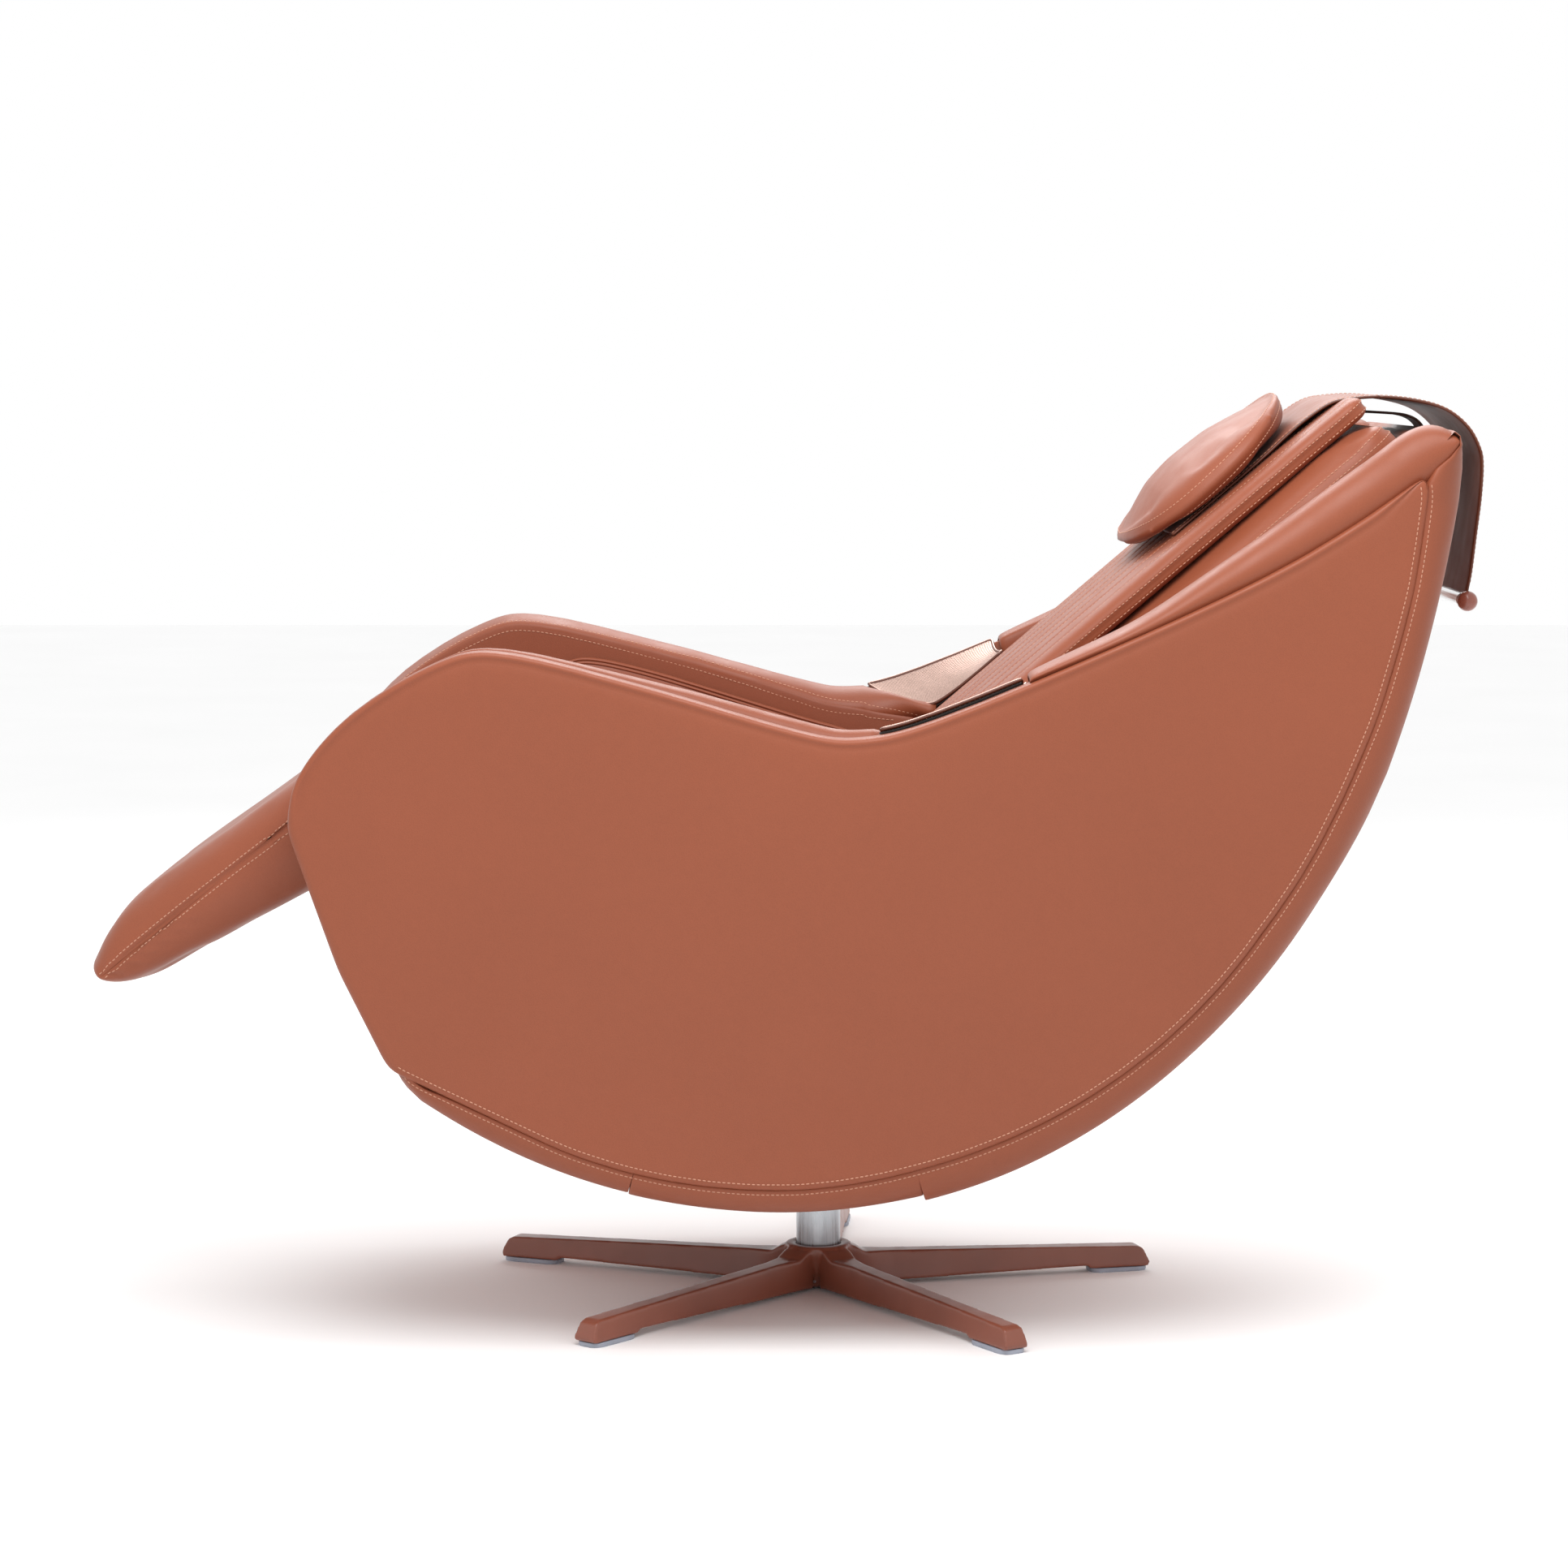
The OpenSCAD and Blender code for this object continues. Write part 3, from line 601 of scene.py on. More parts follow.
def thread(name, colour):
    """Twisted sewing thread."""
    s = Shader(name, Sheen_Weight=0.3)
    twist = s.noise(2600, 2)
    return s.finish(s.colours(twist, two_tone(colour, 0.7, 1.15, 0.35)), twist, (0.5, 0.7), twist, 0.4, 0.0003)


def suede(name, colour):
    """Napped cloth, or the flesh side of leather."""
    s = Shader(name, Sheen_Weight=0.4, Sheen_Roughness=0.5)
    nap = s.noise(500, 5, 0.5)
    return s.finish(s.colours(nap, two_tone(colour, 0.75, 1.2)), nap, (0.8, 0.95), nap, 0.35, 0.0006)


TAN = (0.257, 0.067, 0.030)
PANEL = leather("panel_leather", TAN)
SOFT = leather("padded_leather", shade(TAN, 1.04), 0.44, 700)
COVER = leather("cover_leather", shade(TAN, 0.96), 0.48)
# Leather of the inner arm panels: the same tan made darker, as painted shade for faces that turn inwards away from the
# light
INNER_SHADE = leather("inner_leather_painted_shade", shade(TAN, 0.9), 0.5)
STRAP = leather("strap_leather", shade(TAN, 0.95), 0.46, 620, 0.4)
STRAP_EDGE = painted("strap_edge_paint", shade(TAN, 0.42), 0.42)
# The strap's inner face: the same leather as its outside, made darker as painted shade where it faces the shell
STRAP_INSIDE_SHADE = leather("strap_inside_painted_shade", shade(TAN, 0.62), 0.5, 620, 0.2)
THREAD = thread("tan_thread", (0.56, 0.26, 0.16))
BASE_PAINT = painted("base_paint", (0.225, 0.066, 0.038), 0.36, coat=0.15)
BALL_PAINT = painted("ball_paint", (0.25, 0.07, 0.045), 0.3, coat=0.4)
PAD_RUBBER = moulded("foot_rubber", (0.30, 0.32, 0.38), 0.5)
STEEL = brushed("brushed_column", (0.52, 0.55, 0.58), 0.3, (900, 900, 14))
BRIGHT = brushed("bright_steel", (0.6, 0.6, 0.6), 0.32)
CHROME = brushed("chrome_bar", (0.90, 0.90, 0.91), 0.13)
ALLOY = brushed("bearing_alloy", (0.4, 0.41, 0.42), 0.4)
ROSE = brushed("rose_metal", (0.58, 0.40, 0.34), 0.36)
NYLON = moulded("nylon", (0.72, 0.7, 0.62), 0.45)
DARK_STEEL = painted("carriage_steel", (0.035, 0.037, 0.04), 0.5)
MOTOR = painted("motor_case", (0.022, 0.022, 0.024), 0.45)
PLY = birch_plywood("birch_plywood")
BLACK = moulded("black_plastic", (0.018, 0.018, 0.02), 0.45)
RED = moulded("switch_red", (0.42, 0.02, 0.015), 0.3)
SPEAKER_CLOTH = suede("speaker_cloth", (0.03, 0.024, 0.022))
LINING = suede("board_lining", shade(TAN, 0.45))

# ---------- hard parts that keep their CAD shape ----------

KEPT = {
    STEEL: ["column_tube"],
    BRIGHT: ["swivel_spindle", "tilt_pinion", "tilt_rack", "tilt_rails", "massage_frame",
             "massage_screw", "legrest_frame"],
    NYLON: ["column_bushes", "keeper_shoes", "kneading_wheels"],
    DARK_STEEL: ["swivel_plate", "carriage_cheeks", "plate_bolts"],
    MOTOR: ["tilt_gearmotor", "screw_motor", "kneading_motor", "legrest_gearmotor"],
    ALLOY: ["legrest_bearing", "front_rollers", "rear_rollers"],
    PLY: ["side_frame_left", "side_frame_right"],
    LINING: ["seat_pan", "back_boards"],
    BLACK: ["control_box", "power_inlet", "massage_carriage"],
    RED: ["power_switch"],
}


def machined(node, material):
    """Gives a CAD node its material and a small broken edge."""
    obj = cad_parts[node]
    for material_slot in obj.material_slots:
        material_slot.material = material
    obj.modifiers.new("weld", "WELD").merge_threshold = 1e-6
    edge = obj.modifiers.new("edge", "BEVEL")
    edge.width, edge.segments, edge.limit_method = 0.0008, 2, "ANGLE"
    edge.angle_limit = math.radians(40)


for kept_material, kept_nodes in KEPT.items():
    for kept_node in kept_nodes:
        machined(kept_node, kept_material)


# ---------- base ----------


def cast_copy(node, name, voxel, passes, material):
    """Copy of a CAD node with the soft edges and fillets of a casting."""
    obj = bpy.data.objects.new(name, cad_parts[node].data.copy())
    scene.collection.objects.link(obj)
    obj.data.materials.clear()
    obj.data.materials.append(material)
    obj.modifiers.new("weld", "WELD").merge_threshold = 1e-6
    remesh = obj.modifiers.new("remesh", "REMESH")
    remesh.mode, remesh.voxel_size, remesh.use_smooth_shade = "VOXEL", voxel, True
    soften = obj.modifiers.new("soften", "SMOOTH")
    soften.factor, soften.iterations = 0.5, passes
    return baked(obj)


def shape_legs(obj, draft, drop):
    """Narrows the legs towards the toe and, by the draft, towards the top, which drops outside the hub."""
    co = coords(obj)
    radius = np.hypot(co[:, 0], co[:, 1])
    turn = np.degrees(np.arctan2(co[:, 1], co[:, 0]))
    leg = FIRST_LEG - LEG_PITCH * np.round((FIRST_LEG - turn) / LEG_PITCH)
    across = np.radians(turn - leg)
    narrow = 1 - draft * smoothstep(radius, 0.045, 0.09) * (co[:, 2] / LEG_HEIGHT)
    side = radius * np.sin(across) * narrow * (1 - 0.26 * smoothstep(radius, 0.08, 0.30))
    out, leg = radius * np.cos(across), np.radians(leg)
    lower = 1 - drop * smoothstep(radius, 0.040, 0.056)
    co[:, 2] = np.where(co[:, 2] > PAD_HEIGHT, PAD_HEIGHT + (co[:, 2] - PAD_HEIGHT) * lower, co[:, 2])
    co[:, 0] = out * np.cos(leg) - side * np.sin(leg)
    co[:, 1] = out * np.sin(leg) + side * np.cos(leg)
    set_coords(obj, co)


def make_base():
    base = cast_copy("star_base", "cast_star_base", 0.0020, 7, BASE_PAINT)
    shape_legs(base, 0.42, 0.16)
    place(base, "base", ["star_base"])
    pads = cast_copy("foot_pads", "moulded_foot_pads", 0.0012, 3, PAD_RUBBER)
    shape_legs(pads, 0, 0)
    place(pads, "base", ["foot_pads"])


make_base()

# ---------- side panels ----------

ARM_TOP = outline("side_panel_left")


def edge_on_top(loop):
    """1 where the loop's outward side looks up, 0 elsewhere."""
    return smoothstep(-left_of(loop, True)[:, 1], 0.05, 0.3)


def panel_swell(points):
    """How far the panel's face stands out: most at its middle, fading smoothly to all sides."""
    return 0.0036 * np.exp(-1.3 * (((points[:, 0] - 0.03) / 0.62) ** 2 + ((points[:, 1] - 0.47) / 0.40) ** 2))


def side_seam_line(loop):
    """The panel's outline with its lower edge moved to the line where the leather is sewn."""
    angle, d = tilt_angle(loop), loop - TILT_CENTRE
    radius = np.hypot(*d.T)
    shift = np.interp(angle, [-124, -115, -104, -88, -76, -60, -48, -35, -23, -12, 0, 9],
                      [0, 0.005, 0.006, 0.005, 0, -0.0025, -0.0055, -0.008, -0.0035, 0.004, 0.005, 0])
    lower = (angle > -124) & (angle < 9) & (radius > 0.60)
    loop = loop + d / radius[:, None] * (shift * lower)[:, None]
    # Straight from the front corner to where the belly's curve begins
    straight = np.flatnonzero((angle > -129.1) & (angle < -112) & (radius > 0.60))
    first, last = loop[straight[0]], loop[straight[-1]]
    loop[straight] = first + (last - first) * np.linspace(0, 1, len(straight))[:, None]
    return faired(loop, 5)


def make_side_panels():
    """Swelling leather panel with a rolled rim along its top and a turned edge at the seam."""
    loop = side_seam_line(resample(ARM_TOP, 0.006, True))
    top = edge_on_top(loop)[:, None]
    inward = faired(left_of(loop, True), 8)
    # Steps of the edge as [inward distance, X from the face], plain and on the rolled rim
    plain = [(0.0, -0.026), (0.0, -0.0095), (0.0007, -0.0062), (0.0019, -0.0036), (0.0042, -0.0015),
             (0.0075, -0.0004), (0.012, 0.0), (0.018, 0.0)]
    rim = [(0.0, -0.026), (0.0, -0.012), (0.0003, -0.0058), (0.0016, -0.0020), (0.0038, -0.0004),
           (0.0060, -0.0008), (0.0080, -0.0019), (0.0125, -0.0004)]
    # The edge's rings draw together towards the sharp corner at the head
    near = np.linalg.norm(loop - loop[np.argmax(loop[:, 1])], axis=1)
    inward = inward * np.clip((0.0025 + 0.40 * near) / 0.026, 0, 1)[:, None]
    rings = []
    for (d0, x0), (d1, x1) in zip(plain, rim):
        flat = loop + inward * (d0 + (d1 - d0) * top)
        rings.append(with_x(PANEL_X + (x0 + (x1 - x0) * top)[:, 0] + panel_swell(flat), flat))
    inner = rings[-1][:, 1:] + inward * 0.008
    rings.append(with_x(PANEL_X + panel_swell(inner), inner))
    shape = filled(rings, lambda p: PANEL_X + panel_swell(p))
    pair("leather_side_panel", shape, PANEL, "side_panel", (0.0006, 0.2, 3.0, 8.0))
    return loop


PANEL_LOOP = make_side_panels()

# ---------- belly covers and rear shell ----------


def shell_line():
    """Profile of the rear shell from the belly seam up to its rounded top."""
    angle = np.linspace(-76.6, BELLY_END, 46)
    radius = spline([[-76.6, 0.6720], [-68, 0.6695], [-61, 0.6665], [-49, 0.6615], [-38.6, 0.6595], [-29.4, 0.6600],
                     [-21, 0.6665]], 0.5)
    belly = around(TILT_CENTRE, np.interp(angle, *radius.T), angle)
    back = arc(BACK_CENTRE, BACK_ARC_R + 0.003, BELLY_END + 1.2, BACK_END - 0.4, 24)[1:]
    top = [[0.6702, 0.9350], [0.6695, 0.9500], [0.6675, 0.9620], [0.6635, 0.9710], [0.6570, 0.9765]]
    return np.vstack([belly, back, top])


def seam_depth(line):
    """How far inwards of the line the side panel's edge lies."""
    tree = kd_tree(with_x(0, PANEL_LOOP))
    depth = np.array([tree.find((0, *p))[2] for p in line])
    for _ in range(6):
        depth[1:-1] = (depth[:-2] + 2 * depth[1:-1] + depth[2:]) / 4
    return depth


def cover(name, node, line, slot=None):
    """Sheet with a rounded corner along each side, turned in at its edges."""
    line = with_turned_ends(line)
    inward = left_of(line)
    inward[0], inward[-1] = inward[2], inward[-3]
    quarter = np.radians(np.linspace(0, 90, 11))
    # The corner is a little fuller than an ellipse, and its edge is tucked under the side panel
    corner_x = COVER_HALF_W + 0.001 - CORNER_W + CORNER_W * np.cos(quarter) ** 0.93
    half = np.concatenate([COVER_HALF_W - np.array([0.009, 0.003, 0]), corner_x])
    share = np.concatenate([[1.15, 1.11, 1.05], 1 - np.sin(quarter) ** 0.93])
    flat = np.concatenate([np.linspace(0.25, SLOT_HALF_W, 7), np.linspace(-SLOT_HALF_W, -0.25, 7)])
    x = np.concatenate([half, flat, -half[::-1]])
    share = np.concatenate([share, np.zeros(len(flat)), share[::-1]])
    corner = np.clip(seam_depth(line) - 0.0008, 0.015, 0.045)
    corner = np.where(line[:, 1] > 0.925, CORNER_DEPTH, corner)
    corner = corner * (1 - 0.93 * smoothstep(line[:, 1], 0.925, 0.972))
    along = lengths(line)
    drop = 0.0010 * round_edge(np.minimum(along, along[-1] - along), 0.0035)
    drop[[0, -1]] += 0.010
    outer = np.empty((len(line), len(x), 3))
    outer[:, :, 0] = x
    shift = share[None, :] * corner[:, None] + drop[:, None]
    outer[:, :, 1:] = line[:, None] + inward[:, None] * shift[:, :, None]
    thick = 0.0042
    inner = outer.copy()
    inner[:, :, 0] *= 1 - thick / COVER_HALF_W
    inner[:, :, 1:] += inward[:, None] * (thick * smoothstep(share, 1, 0) + 0.0002)[None, :, None]
    keep = np.ones((len(line) - 1, len(x) - 1), bool)
    if slot is not None:
        middle = (np.abs((x[1:] + x[:-1]) / 2) < SLOT_HALF_W + 0.0001)[None, :]
        keep &= ~(slot(line)[:, None] & middle)
    obj = new_object(name, *sheet_solid(outer, inner, keep), COVER)
    wavy(obj, 0.0005, 0.13, 5.0)
    place(obj, "shell", [node])


def with_turned_ends(line):
    """The line with extra points close to its ends, where the leather turns in."""
    along = lengths(line)
    extra = np.array([0.0008, 0.0018, 0.0035, 0.007])
    at = np.unique(np.concatenate([along, extra, along[-1] - extra]))
    path = at_lengths(np.concatenate([[0.0], at, [along[-1]]]), along, line)
    path[0] -= (path[2] - path[1]) * 0.05
    path[-1] += (path[-2] - path[-3]) * 0.05
    return path


def column_slot(line):
    """True where the middle cover is open round the column, which it passes as the chair tilts."""
    angle = tilt_angle((line[1:] + line[:-1]) / 2)
    return (angle > -102.4) & (angle < -83.9)


def make_covers():
    lip = [[-0.4520, 0.3040], [-0.4490, 0.2975], [-0.4445, 0.2895], [-0.4390, 0.2820], [-0.4320, 0.2750]]
    front = np.vstack([lip, arc(TILT_CENTRE, SHELL_R - 0.0015, -124.9, -104.03, 20)])
    cover("leather_front_cover", "front_cover", front)
    cover("leather_middle_cover", "middle_cover", arc(TILT_CENTRE, SHELL_R, -103.97, -76.66, 26), column_slot)
    cover("leather_rear_shell", "rear_shell", shell_line())


make_covers()

# ---------- armrests ----------


def edge_path(loop, start, end):
    """Part of a closed loop that runs counterclockwise from the point nearest start to that nearest end."""
    a = np.argmin(np.hypot(*(loop - start).T))
    rolled = np.roll(loop, -a, 0)
    b = np.argmin(np.hypot(*(rolled - end).T))
    return rolled[: b + 1]


# Top edge of the side panel from the knee at the front to the corner at the back
TOP_EDGE = resample(edge_path(ARM_TOP, (0.628, 0.930), (-0.5560, 0.588))[::-1], 0.008)
GRILLE_FRONT_Y = 0.060
GRILLE_REAR_Y = 0.214
GRILLE_INNER_FRONT = np.array([0.2565, 0.137, 0.6440])
GRILLE_INNER_REAR = np.array([0.2470, 0.219, 0.7080])


def part_of(path, low, high):
    return path[(path[:, 0] >= low) & (path[:, 0] <= high)]


def cap_edges():
    """Outer and inner edge of the armrest cap; behind the arm it narrows along the speaker grille."""
    arm = part_of(TOP_EDGE, -1.0, GRILLE_FRONT_Y)
    inward = -left_of(arm)
    drop = np.interp(arm[:, 0], [-0.55, -0.35, -0.22, -0.14, -0.07, -0.02, 0.02, 0.06],
                     [0.0085, 0.0070, 0.0048, 0.0035, 0.0038, 0.0065, 0.0115, 0.0190])
    inner = arm + inward * drop[:, None]
    outer = with_x(CAP_OUT_X, arm)
    inner = with_x(CAP_IN_X, inner)
    share = np.linspace(0, 1.05, 13)[1:, None]
    corner = outer[-1] + (GRILLE_INNER_FRONT - outer[-1]) * share
    below = corner - [0, 0, 0.020]
    below[:, 0] = CAP_IN_X
    corner[:, 0] = np.maximum(corner[:, 0], CAP_IN_X - 0.004)
    return np.vstack([outer, corner]), np.vstack([inner, below])


def make_caps():
    """Padded strip on the arm between the panel's rim and the stitched inner seam."""
    outer, inner = cap_edges()
    across = inner - outer
    up = unit(np.cross(np.gradient((outer + inner) / 2, axis=0), across))
    # Section as [share across, height, share of the crest], from the panel's rim to the inner seam
    section = [(0.0, -0.0075, 0), (0.004, -0.0022, 0.02), (0.02, -0.0004, 0.14), (0.06, 0.0004, 0.40),
               (0.12, 0.0006, 0.66), (0.22, 0.0008, 0.90), (0.35, 0.001, 1.0), (0.5, 0.001, 0.98),
               (0.65, 0.001, 0.85), (0.8, 0.0006, 0.58), (0.9, 0, 0.32), (0.955, -0.0009, 0.15),
               (0.985, -0.0024, 0.05), (1.0, -0.005, 0), (1.004, -0.0105, 0)]
    crest = np.interp(outer[:, 1], [-0.5, -0.42, -0.35, -0.22, -0.14, -0.07, 0.0, 0.06, 0.14],
                      [0, 0.0005, 0.002, 0.0045, 0.0065, 0.0085, 0.0105, 0.0105, 0.009])[:, None]
    grid = np.stack([outer + across * v + up * (h + crest * c) for v, h, c in section], 1)
    under = grid - up[:, None] * 0.004
    verts, faces = sheet_solid(grid[:, ::-1], under[:, ::-1])
    shape = verts, [f[::-1] for f in faces]
    pair("leather_armrest_cap", shape, PANEL, "armrest_cap", (0.0005, 0.07, 2.0, 2.0))
    row = outer + across * 0.88 + up * (crest * 0.36)
    return row, up, inner + up * -0.003, inner[:, 1:]


CAP_ROW, CAP_UP, CAP_SEAM, CAP_INNER = make_caps()


def slab(loop, steps, centre, crown, blur=6):
    """Board that faces inwards, with an edge of [inward distance, X] steps; its face swells by the crown."""
    inward = faired(left_of(loop, True), blur)
    rings = [with_x(x, loop + inward * d) for d, x in steps]
    face = steps[-1][1]
    span = np.ptp(loop, axis=0) / 2

    def swell(p):
        return face - crown * np.exp(-1.5 * (((p - centre) / span) ** 2).sum(1))

    edge = rings[-1][:, 1:]
    for k, share in ((0.006, 0.5), (0.013, 1.0)):
        inner = edge + inward * k
        rings.append(with_x(face + (swell(inner) - face) * share, inner))
    verts, faces = filled(rings, swell, 0.011)
    return verts, [f[::-1] for f in faces]


def inner_panel_loop():
    """The inner panel's outline, brought up to the armrest's seam and down along the grille."""
    loop = resample(outline("inner_panel_left"), 0.008, True)
    behind = np.array([[0.160, 0.6560], [0.190, 0.6815], [0.216, 0.7000]])
    top = np.vstack([CAP_INNER[4:], behind])[::-1]
    rest = edge_path(loop, CAP_INNER[0], (0.250, 0.735))
    return faired(resample(np.vstack([rest, top]), 0.008, True), 3)


def make_inner_panels():
    steps = [(0, 0.268), (0, 0.2648), (0.001, 0.2632), (0.004, 0.2624), (0.009, 0.262)]
    shape = slab(inner_panel_loop(), steps, np.array([-0.02, 0.53]), 0.0014)
    pair("leather_inner_panel", shape, INNER_SHADE, "inner_panel", (0.0005, 0.1, 4.0, 4.0))


def make_arm_pads():
    """Soft pad on the inside of the arm, with a double welt along its top edge."""
    loop = faired(resample(outline("arm_pad_left"), 0.006, True), 16)
    steps = [(0, 0.2618), (0, 0.2585), (0.0005, 0.2562), (0.0022, 0.2535), (0.0055, 0.2508),
             (0.0105, 0.2489), (0.018, 0.2476), (0.03, 0.2466)]
    pad = slab(loop, steps, np.array([-0.13, 0.585]), 0.0012, 45)
    inward = left_of(loop, True)
    top = edge_on_top(loop) > 0.2
    start = int(np.argmax(top & ~np.roll(top, 1)))
    parts = []
    for d, x, radius in ((0.0022, 0.2522, 0.0016), (0.0062, 0.2497, 0.0013)):
        run = np.roll(with_x(x, loop + inward * d), -start, 0)[: int(top.sum())]
        parts.append(tube(run, radius, 7, normal=(1.0, 0, 0)))
    pair("leather_arm_pad", pad, SOFT, "arm_pad", (0.0006, 0.06, 6.0, 6.0), 0.8)
    pair("arm_pad_welt", joined(parts), SOFT)


def make_arm_fronts():
    """Leather that closes the arm between its two panels, from the knee down to the belly cover."""
    path = resample(edge_path(PANEL_LOOP, (-0.5555, 0.592), (-0.452, 0.304)), 0.006)
    path = path + left_of(path) * 0.0035
    xs = np.linspace(0.2632, 0.3160, 9)
    grid = np.stack([with_x(x, path) for x in xs], 1)
    bulge = 0.002 * (1 - ((xs - xs.mean()) / (xs[-1] - xs.mean())) ** 2)
    grid[:, :, 1:] += -left_of(path)[:, None] * bulge[None, :, None]
    back = grid.copy()
    back[:, :, 1:] += left_of(path)[:, None] * 0.003
    pair("leather_arm_front", sheet_solid(grid, back), PANEL)


make_inner_panels()
make_arm_pads()
make_arm_fronts()

# ---------- speaker grilles ----------


def grille_point(u, v):
    """Concave patch behind the arm: u from its front edge to its rear, v from the panel inwards."""
    arm = resample(part_of(TOP_EDGE, GRILLE_FRONT_Y, GRILLE_REAR_Y), 0.002)
    arm = with_x(CAP_OUT_X, arm + left_of(arm) * 0.0065)
    outer = at_lengths(u, lengths(arm) / lengths(arm)[-1], arm)
    u, v = u[..., None], v[..., None]
    chord = arm[0] + (arm[-1] - arm[0]) * u
    inner = GRILLE_INNER_FRONT + (GRILLE_INNER_REAR - GRILLE_INNER_FRONT) * u
    inner = inner + (outer - chord) * 0.8
    sag = 0.007 * 4 * v * (1 - v)
    return outer + (inner - outer) * v - np.array([0.35, 0.25, 0.9]) * sag


def make_grilles():
    """Perforated metal sheet: staggered round holes, a plain border, a rim and dark cloth behind."""
    rows, last, margin = 52, 48, 0.022
    uv, faces, index = [], [], {}

    def vertex(i, h, shift=(0.0, 0.0)):
        if (i, h, shift) not in index:
            index[i, h, shift] = len(uv)
            uv.append((margin + (i + shift[0]) * (1 - 2 * margin) / rows,
                       margin + (h / 2 + shift[1]) * (1 - 2 * margin) / (last // 2)))
        return index[i, h, shift]

    turns = np.radians(45) * np.arange(8) - math.radians(135)
    circle = [(round(0.33 * math.sin(a), 4), round(0.33 * math.cos(a), 4)) for a in turns]
    square = [(0, 0), (0, 1), (0, 2), (0.5, 2), (1, 2), (1, 1), (1, 0), (0.5, 0)]
    for i in range(rows):
        for h in range(i % 2, last - 1, 2):
            border = [vertex(i + di, h + dh) for di, dh in square]
            hole = [vertex(i + 0.5, h + 1, shift) for shift in circle]
            faces += [(border[k], border[(k + 1) % 8], hole[(k + 1) % 8], hole[k]) for k in range(8)]
        if i % 2:
            faces.append(tuple(vertex(i + di, h) for di, h in ((0, 0), (0, 1), (0.5, 1), (1, 1), (1, 0))))
            faces.append(tuple(vertex(i + di, last - dh) for di, dh in ((0, 1), (0, 0), (1, 0), (1, 1), (0.5, 1))))
    # Plain border strips before and behind the holes
    for i, u in ((0, 0.0), (rows, 1.0)):
        line = [vertex(i, h) for h in range(last + 1)]
        base = len(uv)
        uv += [(u, uv[k][1]) for k in line]
        strip = [(line[k], line[k + 1], base + k + 1, base + k) for k in range(last)]
        faces += strip if u else [f[::-1] for f in strip]
    front = grille_point(*np.array(uv).T)
    sheet = thickened(front, front - [0.0003, 0.0003, 0.0008], faces)
    g = np.linspace(0, 1, 40)
    rim_u = np.concatenate([g, g * 0 + 1, g[::-1], g * 0])
    rim_v = np.concatenate([g * 0, g, g * 0 + 1, g[::-1]])
    rim_path = resample(faired(resample(grille_point(rim_u, rim_v), 0.003, True), 2), 0.003, True)
    g = np.linspace(0, 1, 24)
    cloth = grille_point(*np.meshgrid(g, g, indexing="ij")) - [0, 0, 0.004]
    pair("perforated_grille", sheet, ROSE, "speaker_grille", smooth=False)
    pair("grille_rim", tube(rim_path, 0.0013, 8, closed=True), ROSE)
    pair("grille_seam", tube(rim_path - [0, 0, 0.0012], 0.0021, 6, closed=True), STRAP_EDGE)
    pair("speaker_cloth", sheet_solid(cloth, cloth - [0, 0, 0.0015]), SPEAKER_CLOTH)


def make_speakers():
    """Driver under each grille: round frame, rolled surround and shallow cone."""
    profile = [(0.0168, 0.5725), (0.0170, 0.6080), (0.0166, 0.6102), (0.0156, 0.6108), (0.0150, 0.6096),
               (0.0138, 0.6106), (0.0124, 0.6098), (0.0060, 0.6030), (0.0052, 0.6036), (0.0030, 0.6046)]
    a = np.linspace(0, 2 * math.pi, 40, endpoint=False)
    left = rings_mesh([
        np.column_stack([0.2875 + r * np.cos(a), 0.118 + r * np.sin(a), np.full(40, z)]) for r, z in profile
    ])
    drivers = new_object("speaker_units", *joined([left, mirrored(*left)]), BLACK)
    place(drivers, "shell", ["speaker_drivers"])


make_grilles()
make_speakers()

# ---------- shoulder bolsters and top roll ----------


def make_bolsters():
    """Roll along the panel's top edge, thin beside the grille and full at the head."""
    low = [[0.217, 0.7150], [0.235, 0.7225], [0.330, 0.7620], [0.415, 0.8022], [0.500, 0.8462],
           [0.583, 0.8985], [0.628, 0.9300], [0.646, 0.9435], [0.657, 0.9540], [0.6625, 0.9640]]
    high = [[0.217, 0.7215], [0.233, 0.7300], [0.328, 0.7760], [0.410, 0.8310], [0.492, 0.8885],
            [0.572, 0.9460], [0.606, 0.9715], [0.629, 0.9810], [0.647, 0.9795], [0.6590, 0.9715]]
    both = spline(np.hstack([low, high]), 0.012)
    low, high = both[:, :2], both[:, 2:]
    size = np.linalg.norm(high - low, axis=1)
    # Section points as [X, share of the height, depth below the panel's edge]
    section = [(0.3300, -0.05, -0.004), (0.3345, 0.02, 0), (0.3366, 0.16, 0), (0.3372, 0.34, 0), (0.3352, 0.55, 0),
               (0.3305, 0.74, 0), (0.3230, 0.89, 0), (0.3130, 0.975, 0), (0.3010, 1.0, 0), (0.2890, 0.965, 0),
               (0.2780, 0.86, 0), (0.2690, 0.68, 0), (0.2630, 0.45, 0), (0.2602, 0.2, -0.006),
               (0.2600, 0.0, -0.02), (0.2600, 0.0, -0.06)]
    fade = 1 - smoothstep(np.linspace(0, 1, len(low)), 0.9, 1.0)
    grid = []
    for x, part, down in section:
        point = low + (high - low) * part + np.column_stack([-0.35 * down * fade, down * fade])
        lean = (x - 0.30) * (0.55 + 0.45 * smoothstep(size, 0.0, 0.03)) * (0.9 + 0.1 * fade)
        grid.append(with_x(0.30 + lean if x < 0.30 else x, point))
    grid = np.stack(grid, 1)
    inward = np.zeros_like(grid)
    inward[:, :, 0] = np.where(grid[:, :, 0] > 0.30, -0.006, 0.006)
    inward[:, :, 2] = -0.006
    shape = sheet_solid(grid, grid + inward)
    pair("leather_shoulder_bolster", shape, SOFT, "shoulder_bolster", (0.0008, 0.09, 1.0, 7.0), 0.85)


